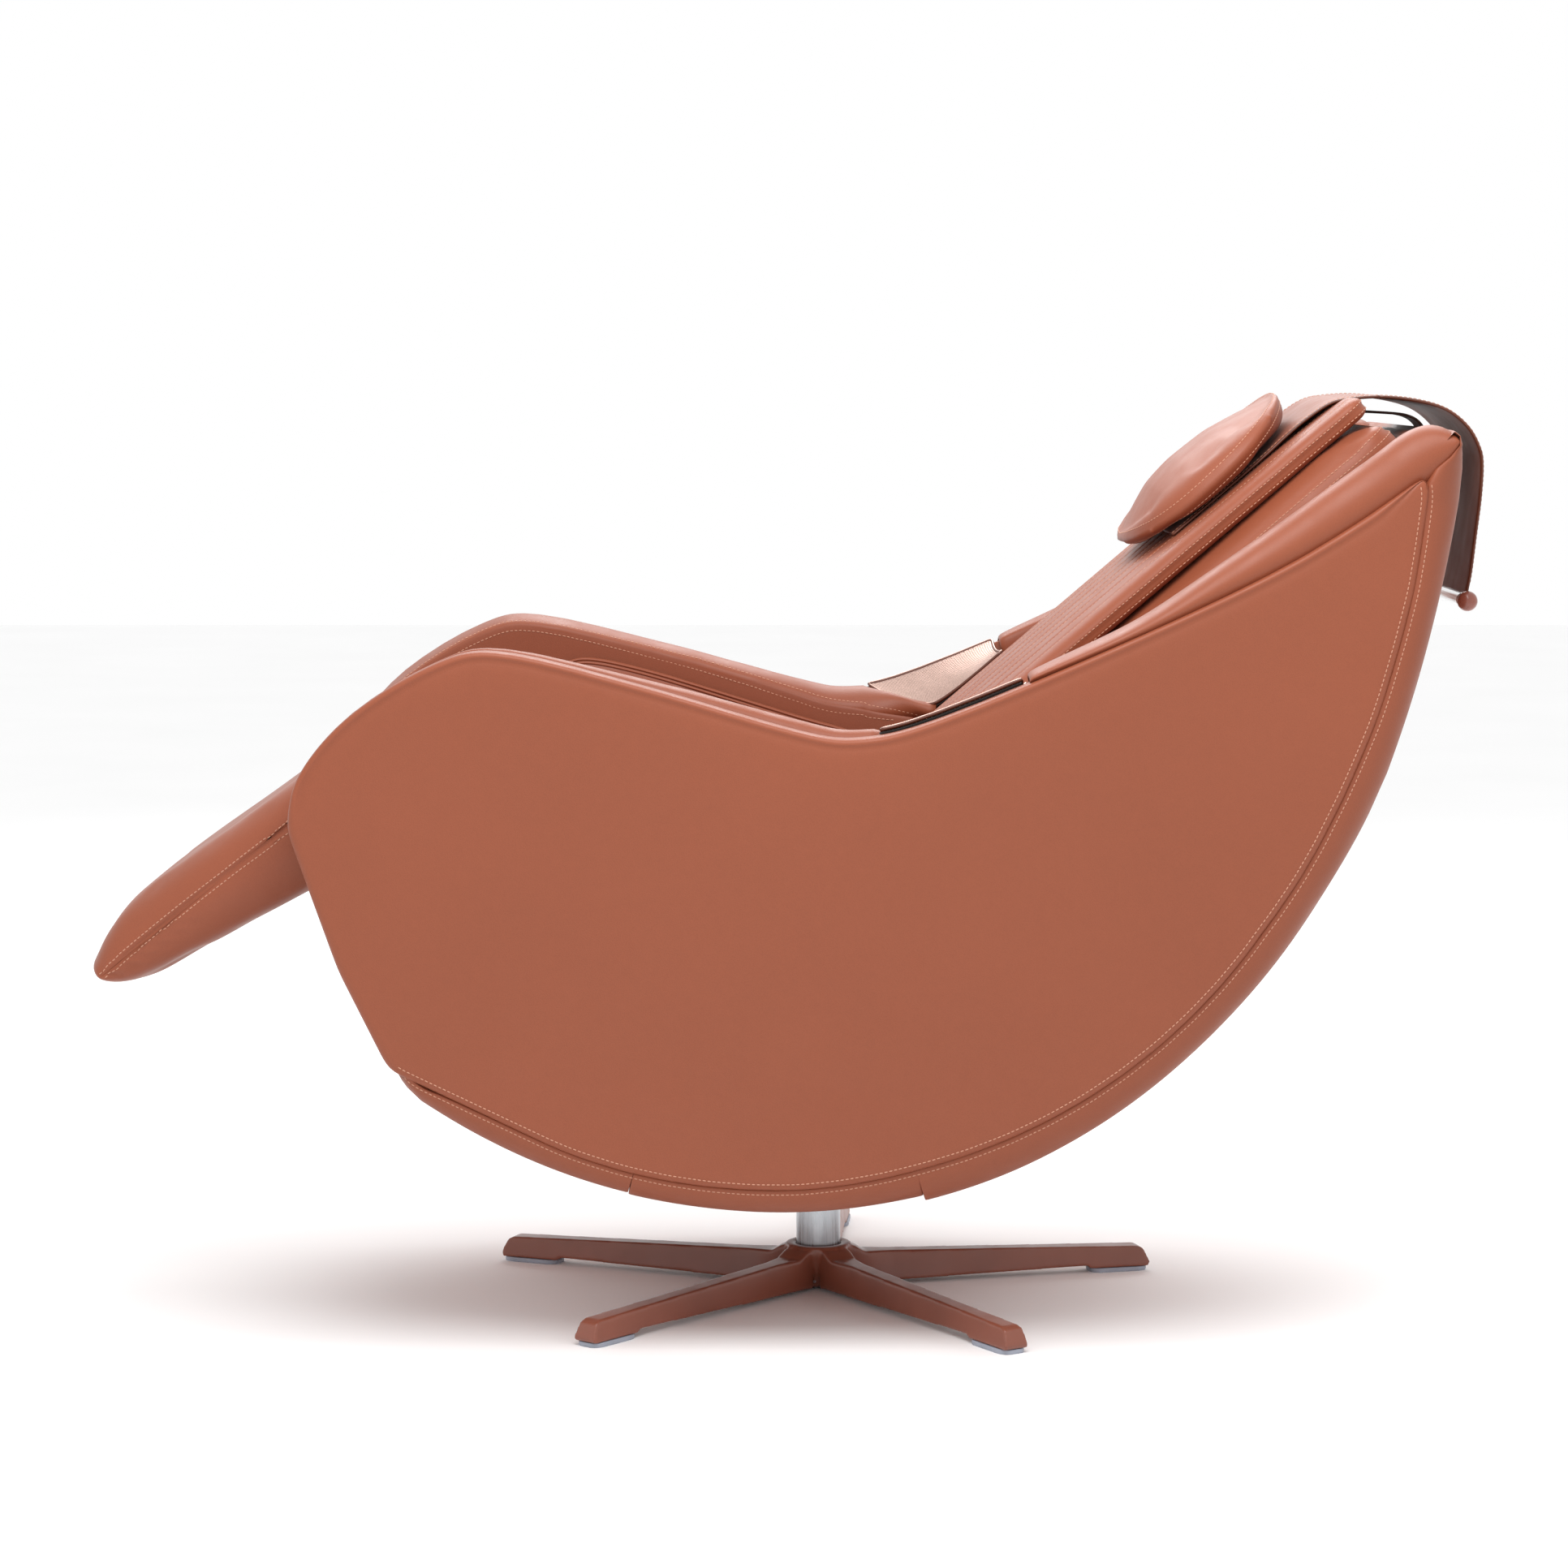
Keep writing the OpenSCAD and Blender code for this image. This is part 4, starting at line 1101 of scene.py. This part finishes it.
def make_top_roll():
    """Roll across the top between the bolsters, sewn to the rear shell."""
    a = np.linspace(0, 2 * math.pi, 26, endpoint=False)
    rings = []
    for x in np.linspace(-0.266, 0.266, 60):
        end = 1 - 0.5 * smoothstep(abs(x), 0.255, 0.268)
        section = np.column_stack([0.6455 + 0.0175 * end * squared(np.cos(a), 0.8),
                                   0.9500 + 0.0225 * end * squared(np.sin(a), 0.8)])
        rings.append(with_x(x, section))
    obj = subdivided(new_object("leather_top_roll", *rings_mesh(rings), SOFT))
    wavy(obj, 0.0008, 0.05, 2.0)
    place(obj, "shell", ["top_roll"])


make_bolsters()
make_top_roll()

# ---------- cushions ----------


def cushion_grid(half, low, high, thick, spacing, corner, edge, columns=()):
    """Closed box of quads with rounded corners in plan and rounded edges.

    Columns are extra lines of points along its length, so that channels can be sewn there.
    """
    bottom, top = thick
    xs = np.unique(np.round(np.concatenate([np.linspace(-half, half, int(2 * half / spacing) + 1), columns]), 5))
    keep = [xs[0]]
    for x in xs[1:]:
        if x - keep[-1] > 0.35 * spacing or any(abs(x - c) < 1e-6 for c in columns):
            if x - keep[-1] <= 0.35 * spacing and len(keep) > 1:
                keep.pop()
            keep.append(x)
    keep[-1] = half
    grid = (keep, np.linspace(low, high, int((high - low) / spacing) + 1),
            np.linspace(bottom, top, max(4, int((top - bottom) / spacing) + 1)))
    count = [len(values) - 1 for values in grid]
    index, verts, faces = {}, [], []

    def vertex(*at):
        if at not in index:
            index[at] = len(verts)
            verts.append([values[k] for values, k in zip(grid, at)])
        return index[at]

    # Each pair of sides as (axes, corners of a cell, order of the corners on the lower side)
    cell = ((0, 0), (1, 0), (1, 1), (0, 1))
    sides = ((0, 1, 2), (cell[0], *cell[:0:-1]), 1), ((0, 2, 1), cell, 1), ((1, 2, 0), cell, -1)
    for (a, b, c), corners, first in sides:
        for p, q in product(range(count[a]), range(count[b])):
            for level, order in ((0, first), (count[c], -first)):
                at = [{a: p + dp, b: q + dq, c: level} for dp, dq in corners]
                faces.append(tuple([vertex(k[0], k[1], k[2]) for k in at][::order]))
    p = np.array(verts)
    middle_t, half_t = (low + high) / 2, (high - low) / 2
    middle_n, half_n = (bottom + top) / 2, (top - bottom) / 2
    x, t, n = p[:, 0], p[:, 1] - middle_t, p[:, 2] - middle_n

    def disc(a, b):
        both = (a > 0) & (b > 0)
        scale = np.where(both, np.maximum(a, b) / np.maximum(np.hypot(a, b), 1e-9), 1)
        return a * scale, b * scale

    qx, qt = np.abs(x) - (half - corner), np.abs(t) - (half_t - corner)
    nqx, nqt = disc(qx, qt)
    ax, at = np.abs(x) - qx + nqx, np.abs(t) - qt + nqt
    qx, qt = ax - (half - corner), at - (half_t - corner)
    outside = np.hypot(np.maximum(qx, 0), np.maximum(qt, 0))
    distance = np.minimum(np.maximum(qx, qt), 0) + outside - corner
    in_corner = (qx > 0) & (qt > 0)
    gx = np.where(in_corner, qx / np.maximum(outside, 1e-9), (qx >= qt).astype(float))
    gt = np.where(in_corner, qt / np.maximum(outside, 1e-9), (qx < qt).astype(float))
    edge_n = min(edge, half_n * 0.98)
    o, u = (distance + edge) / edge, (np.abs(n) - (half_n - edge_n)) / edge_n
    no, nu = disc(o, u)
    ax, at = ax + gx * (no - o) * edge, at + gt * (no - o) * edge
    an = np.abs(n) + (nu - u) * edge_n
    p = np.column_stack([np.copysign(ax, x), middle_t + np.copysign(at, t), middle_n + np.copysign(an, n)])
    return p, faces


def seam_path(half, low, high, corner, n):
    """Closed path round a cushion's plan outline, at height n."""
    centres = [(half - corner, high - corner, 0), (corner - half, high - corner, 90),
               (corner - half, low + corner, 180), (half - corner, low + corner, 270)]
    loop = np.vstack([arc((cx, ct), corner, a, a + 90, 10) for cx, ct, a in centres])
    loop = resample(loop, 0.006, True)
    return np.column_stack([loop, np.full(len(loop), n)])


def to_frame(frame_fn, path):
    return frame_fn(path[:, 0], path[:, 1], path[:, 2])


def make_cushion(node, frame_fn, half, inset, span, thick, spacing, corner, edge, crest, cap, level,
                 seam, rows, channels=(), quilting=None):
    """Cushion inflated by cloth simulation, with a stitched seam round its side and sewn channels.

    level: height of the pinned seam. seam: inset, height, width and depth of its groove.
    rows: how far its stitches stand out at the ends, their corner and their heights.
    quilting: height above, then points, margin, width and depth of a groove, then points, margin and
    shifts of its stitches.
    """
    (low, high), wide = span, half - inset
    p, faces = cushion_grid(wide, low, high, thick, spacing, corner, edge, channels)
    middle = (thick[0] + thick[1]) / 2
    x = np.clip(p[:, 0] / wide, -1, 1)
    t = np.clip((2 * p[:, 1] - low - high) / (high - low), -1, 1)
    p[:, 2] += np.where(p[:, 2] > middle, crest * (1 - x**4) * (1 - t**6), 0)
    obj = new_object("leather_" + node, to_frame(frame_fn, p), faces, SOFT)
    from_end = np.abs(p[:, 1] - (low + high) / 2) - (high - low) / 2
    side = np.maximum(np.abs(p[:, 0]) - wide, from_end)
    pinned = (np.abs(p[:, 2] - level) < spacing * 0.55) & (side > -corner * 0.5)
    pinned |= p[:, 2] < thick[0] + 1e-5
    for channel in channels:
        pinned |= (np.abs(p[:, 0] - channel) < 1e-5) & (p[:, 2] > middle) & (from_end < -edge)
    inflate(obj, np.nonzero(pinned)[0], 4.0, cap)
    subdivided(obj)
    loop = to_frame(frame_fn, seam_path(half - seam[0], low, high, corner, seam[1]))
    groove(obj, loop, *seam[2:], True)
    stitched = []
    if channels:
        above, points, margin, width, depth, row_points, row_margin, shifts = quilting

        def line(at, count, gap):
            return frame_fn(np.full(count, at), np.linspace(low + gap, high - gap, count), np.full(count, above))

        tree = surface(obj)
        for at in channels:
            groove(obj, laid(line(at, points, margin), tree)[0], width, depth)
        tree = surface(obj)
        stitched = [laid(line(at + shift, row_points, row_margin), tree) for at in channels for shift in shifts]
    tree = surface(obj)
    out, row_corner, heights = rows
    for height in heights:
        loop = to_frame(frame_fn, seam_path(half, low - out, high + out, row_corner, height))
        stitched.append((*laid(loop, tree), True))
    place(obj, "shell", [node])
    place(threads(node + "_stitches", stitched), "shell")


def make_cushions():
    """Seat cushion, the back's thick lower layer, and the loose pad on it, quilted in lengthwise channels."""
    make_cushion("seat_cushion", seat_frame, SEAT_HALF_W, 0.004, (-0.575, -0.165), (0.390, 0.480), 0.011, 0.045, 0.022,
                 0.008, 0.024, 0.435, (0.004, 0.447, 0.0032, 0.0028), (0.004, 0.047, (0.4515, 0.4425)),
                 (-0.125, 0.125), (0.49, 60, 0.03, 0.0045, 0.0035, 90, 0.02, (-0.005, 0.005)))
    make_cushion("back_cushion", back_frame, SEAT_HALF_W, 0.004, (0.335, 1.094), (0.300, 0.365), 0.011, 0.035, 0.018,
                 0.003, 0.010, 0.352, (0.003, 0.352, 0.0028, 0.0035), (0.003, 0.037, (0.3575, 0.3465)))
    make_cushion("back_pad", back_frame, PAD_HALF_W, 0.003, (0.322, 1.095), (0.3735, 0.3965), 0.0095, 0.022, 0.010,
                 0.006, 0.006, 0.385, (0.002, 0.3835, 0.0024, 0.003), (0.002, 0.023, (0.3885, 0.3785)),
                 (-0.165, -0.118, -0.071, -0.024, 0.024, 0.071, 0.118, 0.165),
                 (0.41, 90, 0.016, 0.0032, 0.0022, 160, 0.014, (0.0035,)))


make_cushions()

# ---------- head pillow ----------


def pillow_height(t):
    """Height of the pillow's side seam above the back: low in the middle, turned up at both ends."""
    points = [[0.800, 0.4290], [0.839, 0.4200], [0.897, 0.4195], [0.956, 0.4235], [1.007, 0.4310], [1.045, 0.4420]]
    return np.interp(t, *spline(points, 0.004).T)


def disc_grid(count):
    """Even grid of quads over a round shape: radius 0 to 1 and angle of each point."""
    u, v = np.meshgrid(np.linspace(-1, 1, count), np.linspace(-1, 1, count), indexing="ij")
    radius = np.maximum(np.abs(u), np.abs(v))
    wide = np.abs(u) >= np.abs(v)
    with np.errstate(divide="ignore", invalid="ignore"):
        turn = np.where(wide, math.pi / 4 * v / u, math.pi / 2 - math.pi / 4 * u / v)
    turn = np.where(wide & (u < 0), turn + math.pi, turn)
    turn = np.where(~wide & (v < 0), turn + math.pi, turn)
    return radius, np.nan_to_num(turn)


def make_pillow():
    """Round-cornered lens of two leather panels, full on top and nearly flat below."""
    centre, half_x, half_t = 0.9245, PILLOW_HALF_W - 0.003, 0.1175
    radius, turn = disc_grid(47)
    radius = 1 - (1 - radius) ** 1.15
    x = squared(np.cos(turn), 0.82) * half_x * radius
    t = centre + squared(np.sin(turn), 0.82) * half_t * radius
    seam = pillow_height(t)
    crest = np.interp(t, [0.80, 0.83, 0.87, 0.91, 0.96, 1.00, 1.045],
                      [0.030, 0.040, 0.046, 0.0455, 0.0405, 0.032, 0.020])
    top = seam + crest * np.clip(1 - radius**2.3, 0, 1) ** 0.56
    under = seam - 0.4020 - 0.0065 * (1 - smoothstep(np.abs(x), 0.133, 0.142))
    below = seam - under * np.clip(1 - radius**7, 0, 1) ** 0.5
    obj = new_object("leather_head_pillow", *sheet_solid(back_frame(x, t, top), back_frame(x, t, below)), SOFT)
    obj.modifiers.new("weld", "WELD").merge_threshold = 1e-5
    baked(obj)
    a = np.linspace(0, 2 * math.pi, 240, endpoint=False)
    loop = np.column_stack([squared(np.cos(a), 0.82) * half_x, centre + squared(np.sin(a), 0.82) * half_t])
    loop = resample(loop, 0.003, True)
    rim = back_frame(loop[:, 0], loop[:, 1], pillow_height(loop[:, 1]))
    tree = kd_tree(rim)
    co = coords(obj)
    height = -co[:, 1] * math.sin(BACK_SLOPE) + co[:, 2] * math.cos(BACK_SLOPE)
    inflate(obj, [i for i, p in enumerate(co) if tree.find(p)[2] < 0.0028 or height[i] < 0.4095], 3.0, 0.006)
    subdivided(obj)
    groove(obj, rim, 0.0028, 0.0026, True)
    tree = surface(obj)
    rows = []
    for share, lift in ((0.975, 0.012), (0.965, -0.007)):
        row = back_frame(loop[:, 0] * share, centre + (loop[:, 1] - centre) * share, pillow_height(loop[:, 1]) + lift)
        rows.append((*laid(row, tree), True))
    place(obj, "headrest", ["head_pillow"])
    place(threads("head_pillow_stitches", rows), "headrest")


make_pillow()

# ---------- legrest ----------

LEG_SEAM = np.array([[-0.560, 0.5610], [-0.572, 0.5500], [-0.616, 0.5170], [-0.668, 0.4770], [-0.721, 0.4340],
                     [-0.756, 0.4040], [-0.771, 0.3905]])


def make_legrest():
    """Long pad with a seam along each side; its ends and side faces are rounded."""
    loop = faired(resample(outline("legrest_pad"), 0.009, True), 2)
    axis, across, pivot = np.array([-0.843, -0.537]), np.array([0.537, -0.843]), np.array([-0.505, 0.572])
    along, above = (loop - pivot) @ axis, (pivot - loop) @ across
    loop = loop + axis * (0.009 * smoothstep(along, 0.15, 0.32))[:, None]
    loop = loop + across * (0.0055 * smoothstep(above, 0, 0.02))[:, None]
    seam = spline(LEG_SEAM, 0.004)
    target = faired(np.array([seam[np.argmin(np.hypot(*(seam - p).T))] for p in loop]), 5)
    inset = 0.036
    flat = LEGREST_HALF_W - inset
    share = np.array([0.985, 0.94, 0.86, 0.74, 0.60, 0.45, 0.31, 0.18, 0.08])
    ends = [(1 - s, flat + (inset + 0.004) * (1 - s**2.3) ** (1 / 2.3)) for s in share]
    rings = [with_x(-x, loop + (target - loop) * w) for w, x in reversed(ends)]
    rings += [with_x(x, loop) for x in np.linspace(-flat, flat, 44)]
    rings += [with_x(x, loop + (target - loop) * w) for w, x in ends]
    verts, faces = rings_mesh(rings)
    obj = new_object("leather_legrest", verts, faces, SOFT)
    pins = [*range(len(loop)), *range(len(verts) - len(loop), len(verts))]
    inflate(obj, pins + list(np.nonzero(verts[:, 1] > -0.50)[0]), 2.0, 0.003)
    subdivided(obj)
    for sign in (1, -1):
        tree = surface(obj)
        groove(obj, laid(with_x(sign * 0.252, seam), tree)[0], 0.0028, 0.0026)
        # Creases that run from the seam at the toe, where the leather is gathered
        for k in range(6):
            start = np.array([-0.762 + 0.013 * k, 0.393 + 0.0105 * k])
            stop = start + [0.016 + 0.004 * k, -0.007 + 0.002 * k]
            crease = with_x(sign * 0.245, spline([start, (start + stop) / 2 + [0, 0.002], stop], 0.002))
            groove(obj, laid(crease, tree)[0], 0.0022, 0.0013)
    tree = surface(obj)
    off = left_of(seam)
    rows = [laid(with_x(sign * 0.252, seam + off * shift), tree) for sign in (1, -1) for shift in (-0.0055, 0.0055)]
    place(obj, "legrest", ["legrest_pad"])
    place(threads("legrest_stitches", rows), "legrest")


make_legrest()

# ---------- straps and counterweight ----------


def strap(name, path, half, thick, shaded_inside=None):
    """Flat double strap with rounded edges: leather outside, painted edges, and inside the leather again or the darker
    copy passed in as painted shade.
    """
    section = [(-1, -0.35), (-1, 0.35), (-0.992, 0.8), (-0.975, 1.0)]
    section += [(x, 1.0) for x in np.linspace(-0.9, 0.9, 13)]
    section += [(0.975, 1.0), (0.992, 0.8), (1, 0.35), (1, -0.35), (0.992, -0.8), (0.975, -1.0)]
    section += [(x, -1.0) for x in np.linspace(0.9, -0.9, 13)]
    section += [(-0.975, -1.0), (-0.992, -0.8)]
    rings = [np.array([[x * half, *(p + n * h * (thick / 2))] for x, h in section])
             for p, n in zip(path, left_of(path))]
    verts, faces = rings_mesh(rings)
    obj = new_object(name, verts, [f[::-1] for f in faces], [STRAP, shaded_inside or STRAP, STRAP_EDGE])
    xs, levels = np.array(section).T
    for polygon in obj.data.polygons:
        k = [v % len(section) for v in polygon.vertices]
        if len(k) > 4 or (np.abs(xs[k]) > 0.97).all():
            polygon.material_index = 2
        elif levels[k].mean() < 0:
            polygon.material_index = 1
    return obj


def strap_rows(path, half, thick):
    """Stitch rows along both edges of a strap."""
    n = left_of(path)
    line = path + n * (thick / 2 + 0.0001)
    return [(with_x(sign * (half - 0.005), line), with_x(0.0, n)) for sign in (1, -1)]


def make_straps():
    """Wide strap from the pillow over the top to the counterweight, in two lengths that meet at the highest point."""
    thick = 0.0035
    under = [back_frame(0.0, t, n)[1:] for t, n in ((0.850, 0.4042), (0.900, 0.4042), (0.950, 0.4044), (0.985, 0.4050),
                                                    (1.012, 0.4062), (1.038, 0.4062), (1.068, 0.4030))]
    over = [[0.5700, 1.0060], [0.6070, 1.0088], [0.6480, 1.0045], [0.6800, 0.9945], [0.7030, 0.9760],
            [0.7155, 0.9540], [0.7190, 0.9350]]
    down = [[0.7175, 0.9000], [0.7130, 0.8600], [0.7085, 0.8200], [0.7050, 0.8000], [0.7035, 0.7910]]
    path = spline(np.vstack([under, over, down]), 0.004)
    split = int(np.argmax(path[:, 1]))
    ends = [tuple(back_frame(0.0, t, 0.405)) for t in (0.900, 1.090)]
    for side, name, nodes, piece, sewn, body, blend in (
        ("front", "pillow_strap_front", ["pillow_strap", "strap_over"], path[: split + 1], None, "headrest", ends),
        ("rear", "weight_strap_rear", ["weight_strap"], path[split:], -4, "counterweight",
         [(0, 0.705, 0.800), (0, 0.715, 0.950)]),
    ):
        obj = strap(name, piece, STRAP_HALF_W, thick, STRAP_INSIDE_SHADE)
        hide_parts(*nodes)
        for part in (obj, threads("strap_stitches_" + side, strap_rows(piece[:sewn], STRAP_HALF_W, thick))):
            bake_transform(part)


def make_pad_strap():
    """Narrow strap that ties the back pad over the top to a snap on the rear shell, with its tab and tail."""
    for name, points, step, half, thick, nodes in (
        ("pad_tie_strap", [[0.584, 0.9895], [0.598, 0.9915], [0.625, 0.9905], [0.650, 0.9880], [0.6655, 0.9800],
                           [0.6735, 0.9640], [0.6745, 0.9400], [0.6735, 0.9150], [0.6715, 0.8760]],
         0.004, 0.028, 0.0028, ["pad_strap"]),
        ("pad_tie_tab", [[0.6735, 0.9000], [0.6730, 0.8800], [0.6722, 0.8660]], 0.003, 0.034, 0.0032, ()),
        ("pad_tie_tail", [[0.6690, 0.8640], [0.6660, 0.8500], [0.6655, 0.8350]], 0.003, 0.024, 0.002, ()),
    ):
        place(strap(name, spline(points, step), half, thick), "shell", nodes)


def lathe(profile, centre, count=48):
    """Solid turned about an X axis; the profile is [X, radius] with both ends on the axis."""
    return rings_mesh([with_x(x, around(centre, r, np.arange(count) * 360 / count)) for x, r in profile])


def make_weight():
    centre = (0.703, 0.788)
    half = 0.1335
    profile = [(-half, 0.0068), (-half + 0.0012, 0.0082), (-half + 0.008, 0.0082), (-half + 0.0085, 0.0085)]
    profile += [(x, 0.0085) for x in np.linspace(-0.12, 0.12, 13)]
    profile += [(half - 0.0085, 0.0085), (half - 0.008, 0.0082), (half - 0.0012, 0.0082), (half, 0.0068)]
    bar = new_object("chromed_weight_bar", *lathe(profile, centre), CHROME)
    place(bar, "counterweight", ["weight_bar"])
    ball_x, ball_r = 0.144, 0.011
    a = np.radians(np.linspace(150, 8, 22))
    turned = [(ball_x - ball_r * 0.95, 0.0066)] + [(ball_x + ball_r * math.cos(t), ball_r * math.sin(t)) for t in a]
    turned.append((ball_x + ball_r * 0.985, 0.0006))
    left = lathe(turned, centre)
    balls = new_object("painted_weight_balls", *joined([left, mirrored(*left)]), BALL_PAINT)
    place(balls, "counterweight", ["weight_balls"])


make_straps()
make_pad_strap()
make_weight()

# ---------- seams of the shell ----------


def tree_of(*names):
    verts, faces = [], []
    for name in names:
        data, offset = bpy.data.objects[name].data, len(verts)
        verts += [v.co.copy() for v in data.vertices]
        faces += [[i + offset for i in p.vertices] for p in data.polygons]
    return BVHTree.FromPolygons(verts, faces)


def make_shell_stitches():
    seam = resample(edge_path(PANEL_LOOP, (-0.452, 0.304), (0.634, 0.920)), 0.004)
    inward = left_of(seam)
    covers = tree_of("leather_front_cover", "leather_middle_cover", "leather_rear_shell")
    rows = [
        laid(with_x(0.343, seam + inward * 0.0075), tree_of("leather_side_panel_left")),
        laid(with_x(0.337, seam - inward * 0.0045), covers),
        laid(CAP_ROW, tree_of("leather_armrest_cap_left")),
        laid(CAP_SEAM - CAP_UP * 0.0065 - [0.003, 0, 0], tree_of("leather_inner_panel_left")),
    ]
    place(threads("shell_stitches", rows, both_sides=True), "shell")


make_shell_stitches()

# ---------- front apron ----------


def make_apron():
    """Leather-covered board under the seat front, slightly crowned."""
    low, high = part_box("front_apron")
    gz, gx = np.meshgrid(np.linspace(low.z, high.z, 34), np.linspace(low.x, high.x, 90), indexing="ij")
    edge = np.minimum(np.minimum(gx - low.x, high.x - gx), np.minimum(gz - low.z, high.z - gz))
    face = np.stack([gx, low.y - 0.0015 * smoothstep(edge, 0, 0.08) + 0.004 * round_edge(edge, 0.006), gz], -1)
    back = np.stack([gx, np.full_like(gx, high.y), gz], -1)
    obj = new_object("leather_front_apron", *sheet_solid(face, back), COVER)
    wavy(obj, 0.0006, 0.08, 9.0)
    place(obj, "shell", ["front_apron"])


make_apron()

# ---------- camera, light and floor ----------


def make_stage():
    """Camera at the angle of the reference view, two softboxes, a white world and a pale floor."""
    camera = bpy.data.objects.new("camera", bpy.data.cameras.new("camera"))
    camera.location = (4.672, -0.039, 1.046)
    camera.rotation_euler = (math.radians(84.23), 0, math.radians(90))
    camera.data.lens = 95.81
    camera.data.sensor_width = 36
    scene.collection.objects.link(camera)
    scene.camera = camera
    size = 12
    corners = [(-size, -size, 0), (size, -size, 0), (size, size, 0), (-size, size, 0)]
    paint = Shader("pale_floor", Roughness=0.9)
    paint.link(paint.colours(paint.noise(2), [(0.3, (0.95, 0.95, 0.95)), (0.7, (0.97, 0.97, 0.97))]), "Base Color")
    new_object("floor", corners, [(0, 1, 2, 3)], paint.material)
    scene.world = bpy.data.worlds.new("studio")
    scene.world.use_nodes = True
    background = scene.world.node_tree.nodes["Background"]
    background.inputs["Color"].default_value = (1, 1, 1, 1)
    background.inputs["Strength"].default_value = 1.0
    for index, (where, power, width) in enumerate((((1.15, 0.0, 2.15), 30, 1.3), ((-2.3, 0.2, 2.9), 60, 2.2))):
        lamp = bpy.data.objects.new(f"softbox_{index}", bpy.data.lights.new("softbox", "AREA"))
        lamp.data.energy = power
        lamp.data.size = width
        lamp.location = where
        lamp.rotation_euler = (Vector((0, 0.05, 0.5)) - Vector(where)).to_track_quat("-Z", "Y").to_euler()
        scene.collection.objects.link(lamp)
    scene.view_settings.view_transform = "Standard"


make_stage()
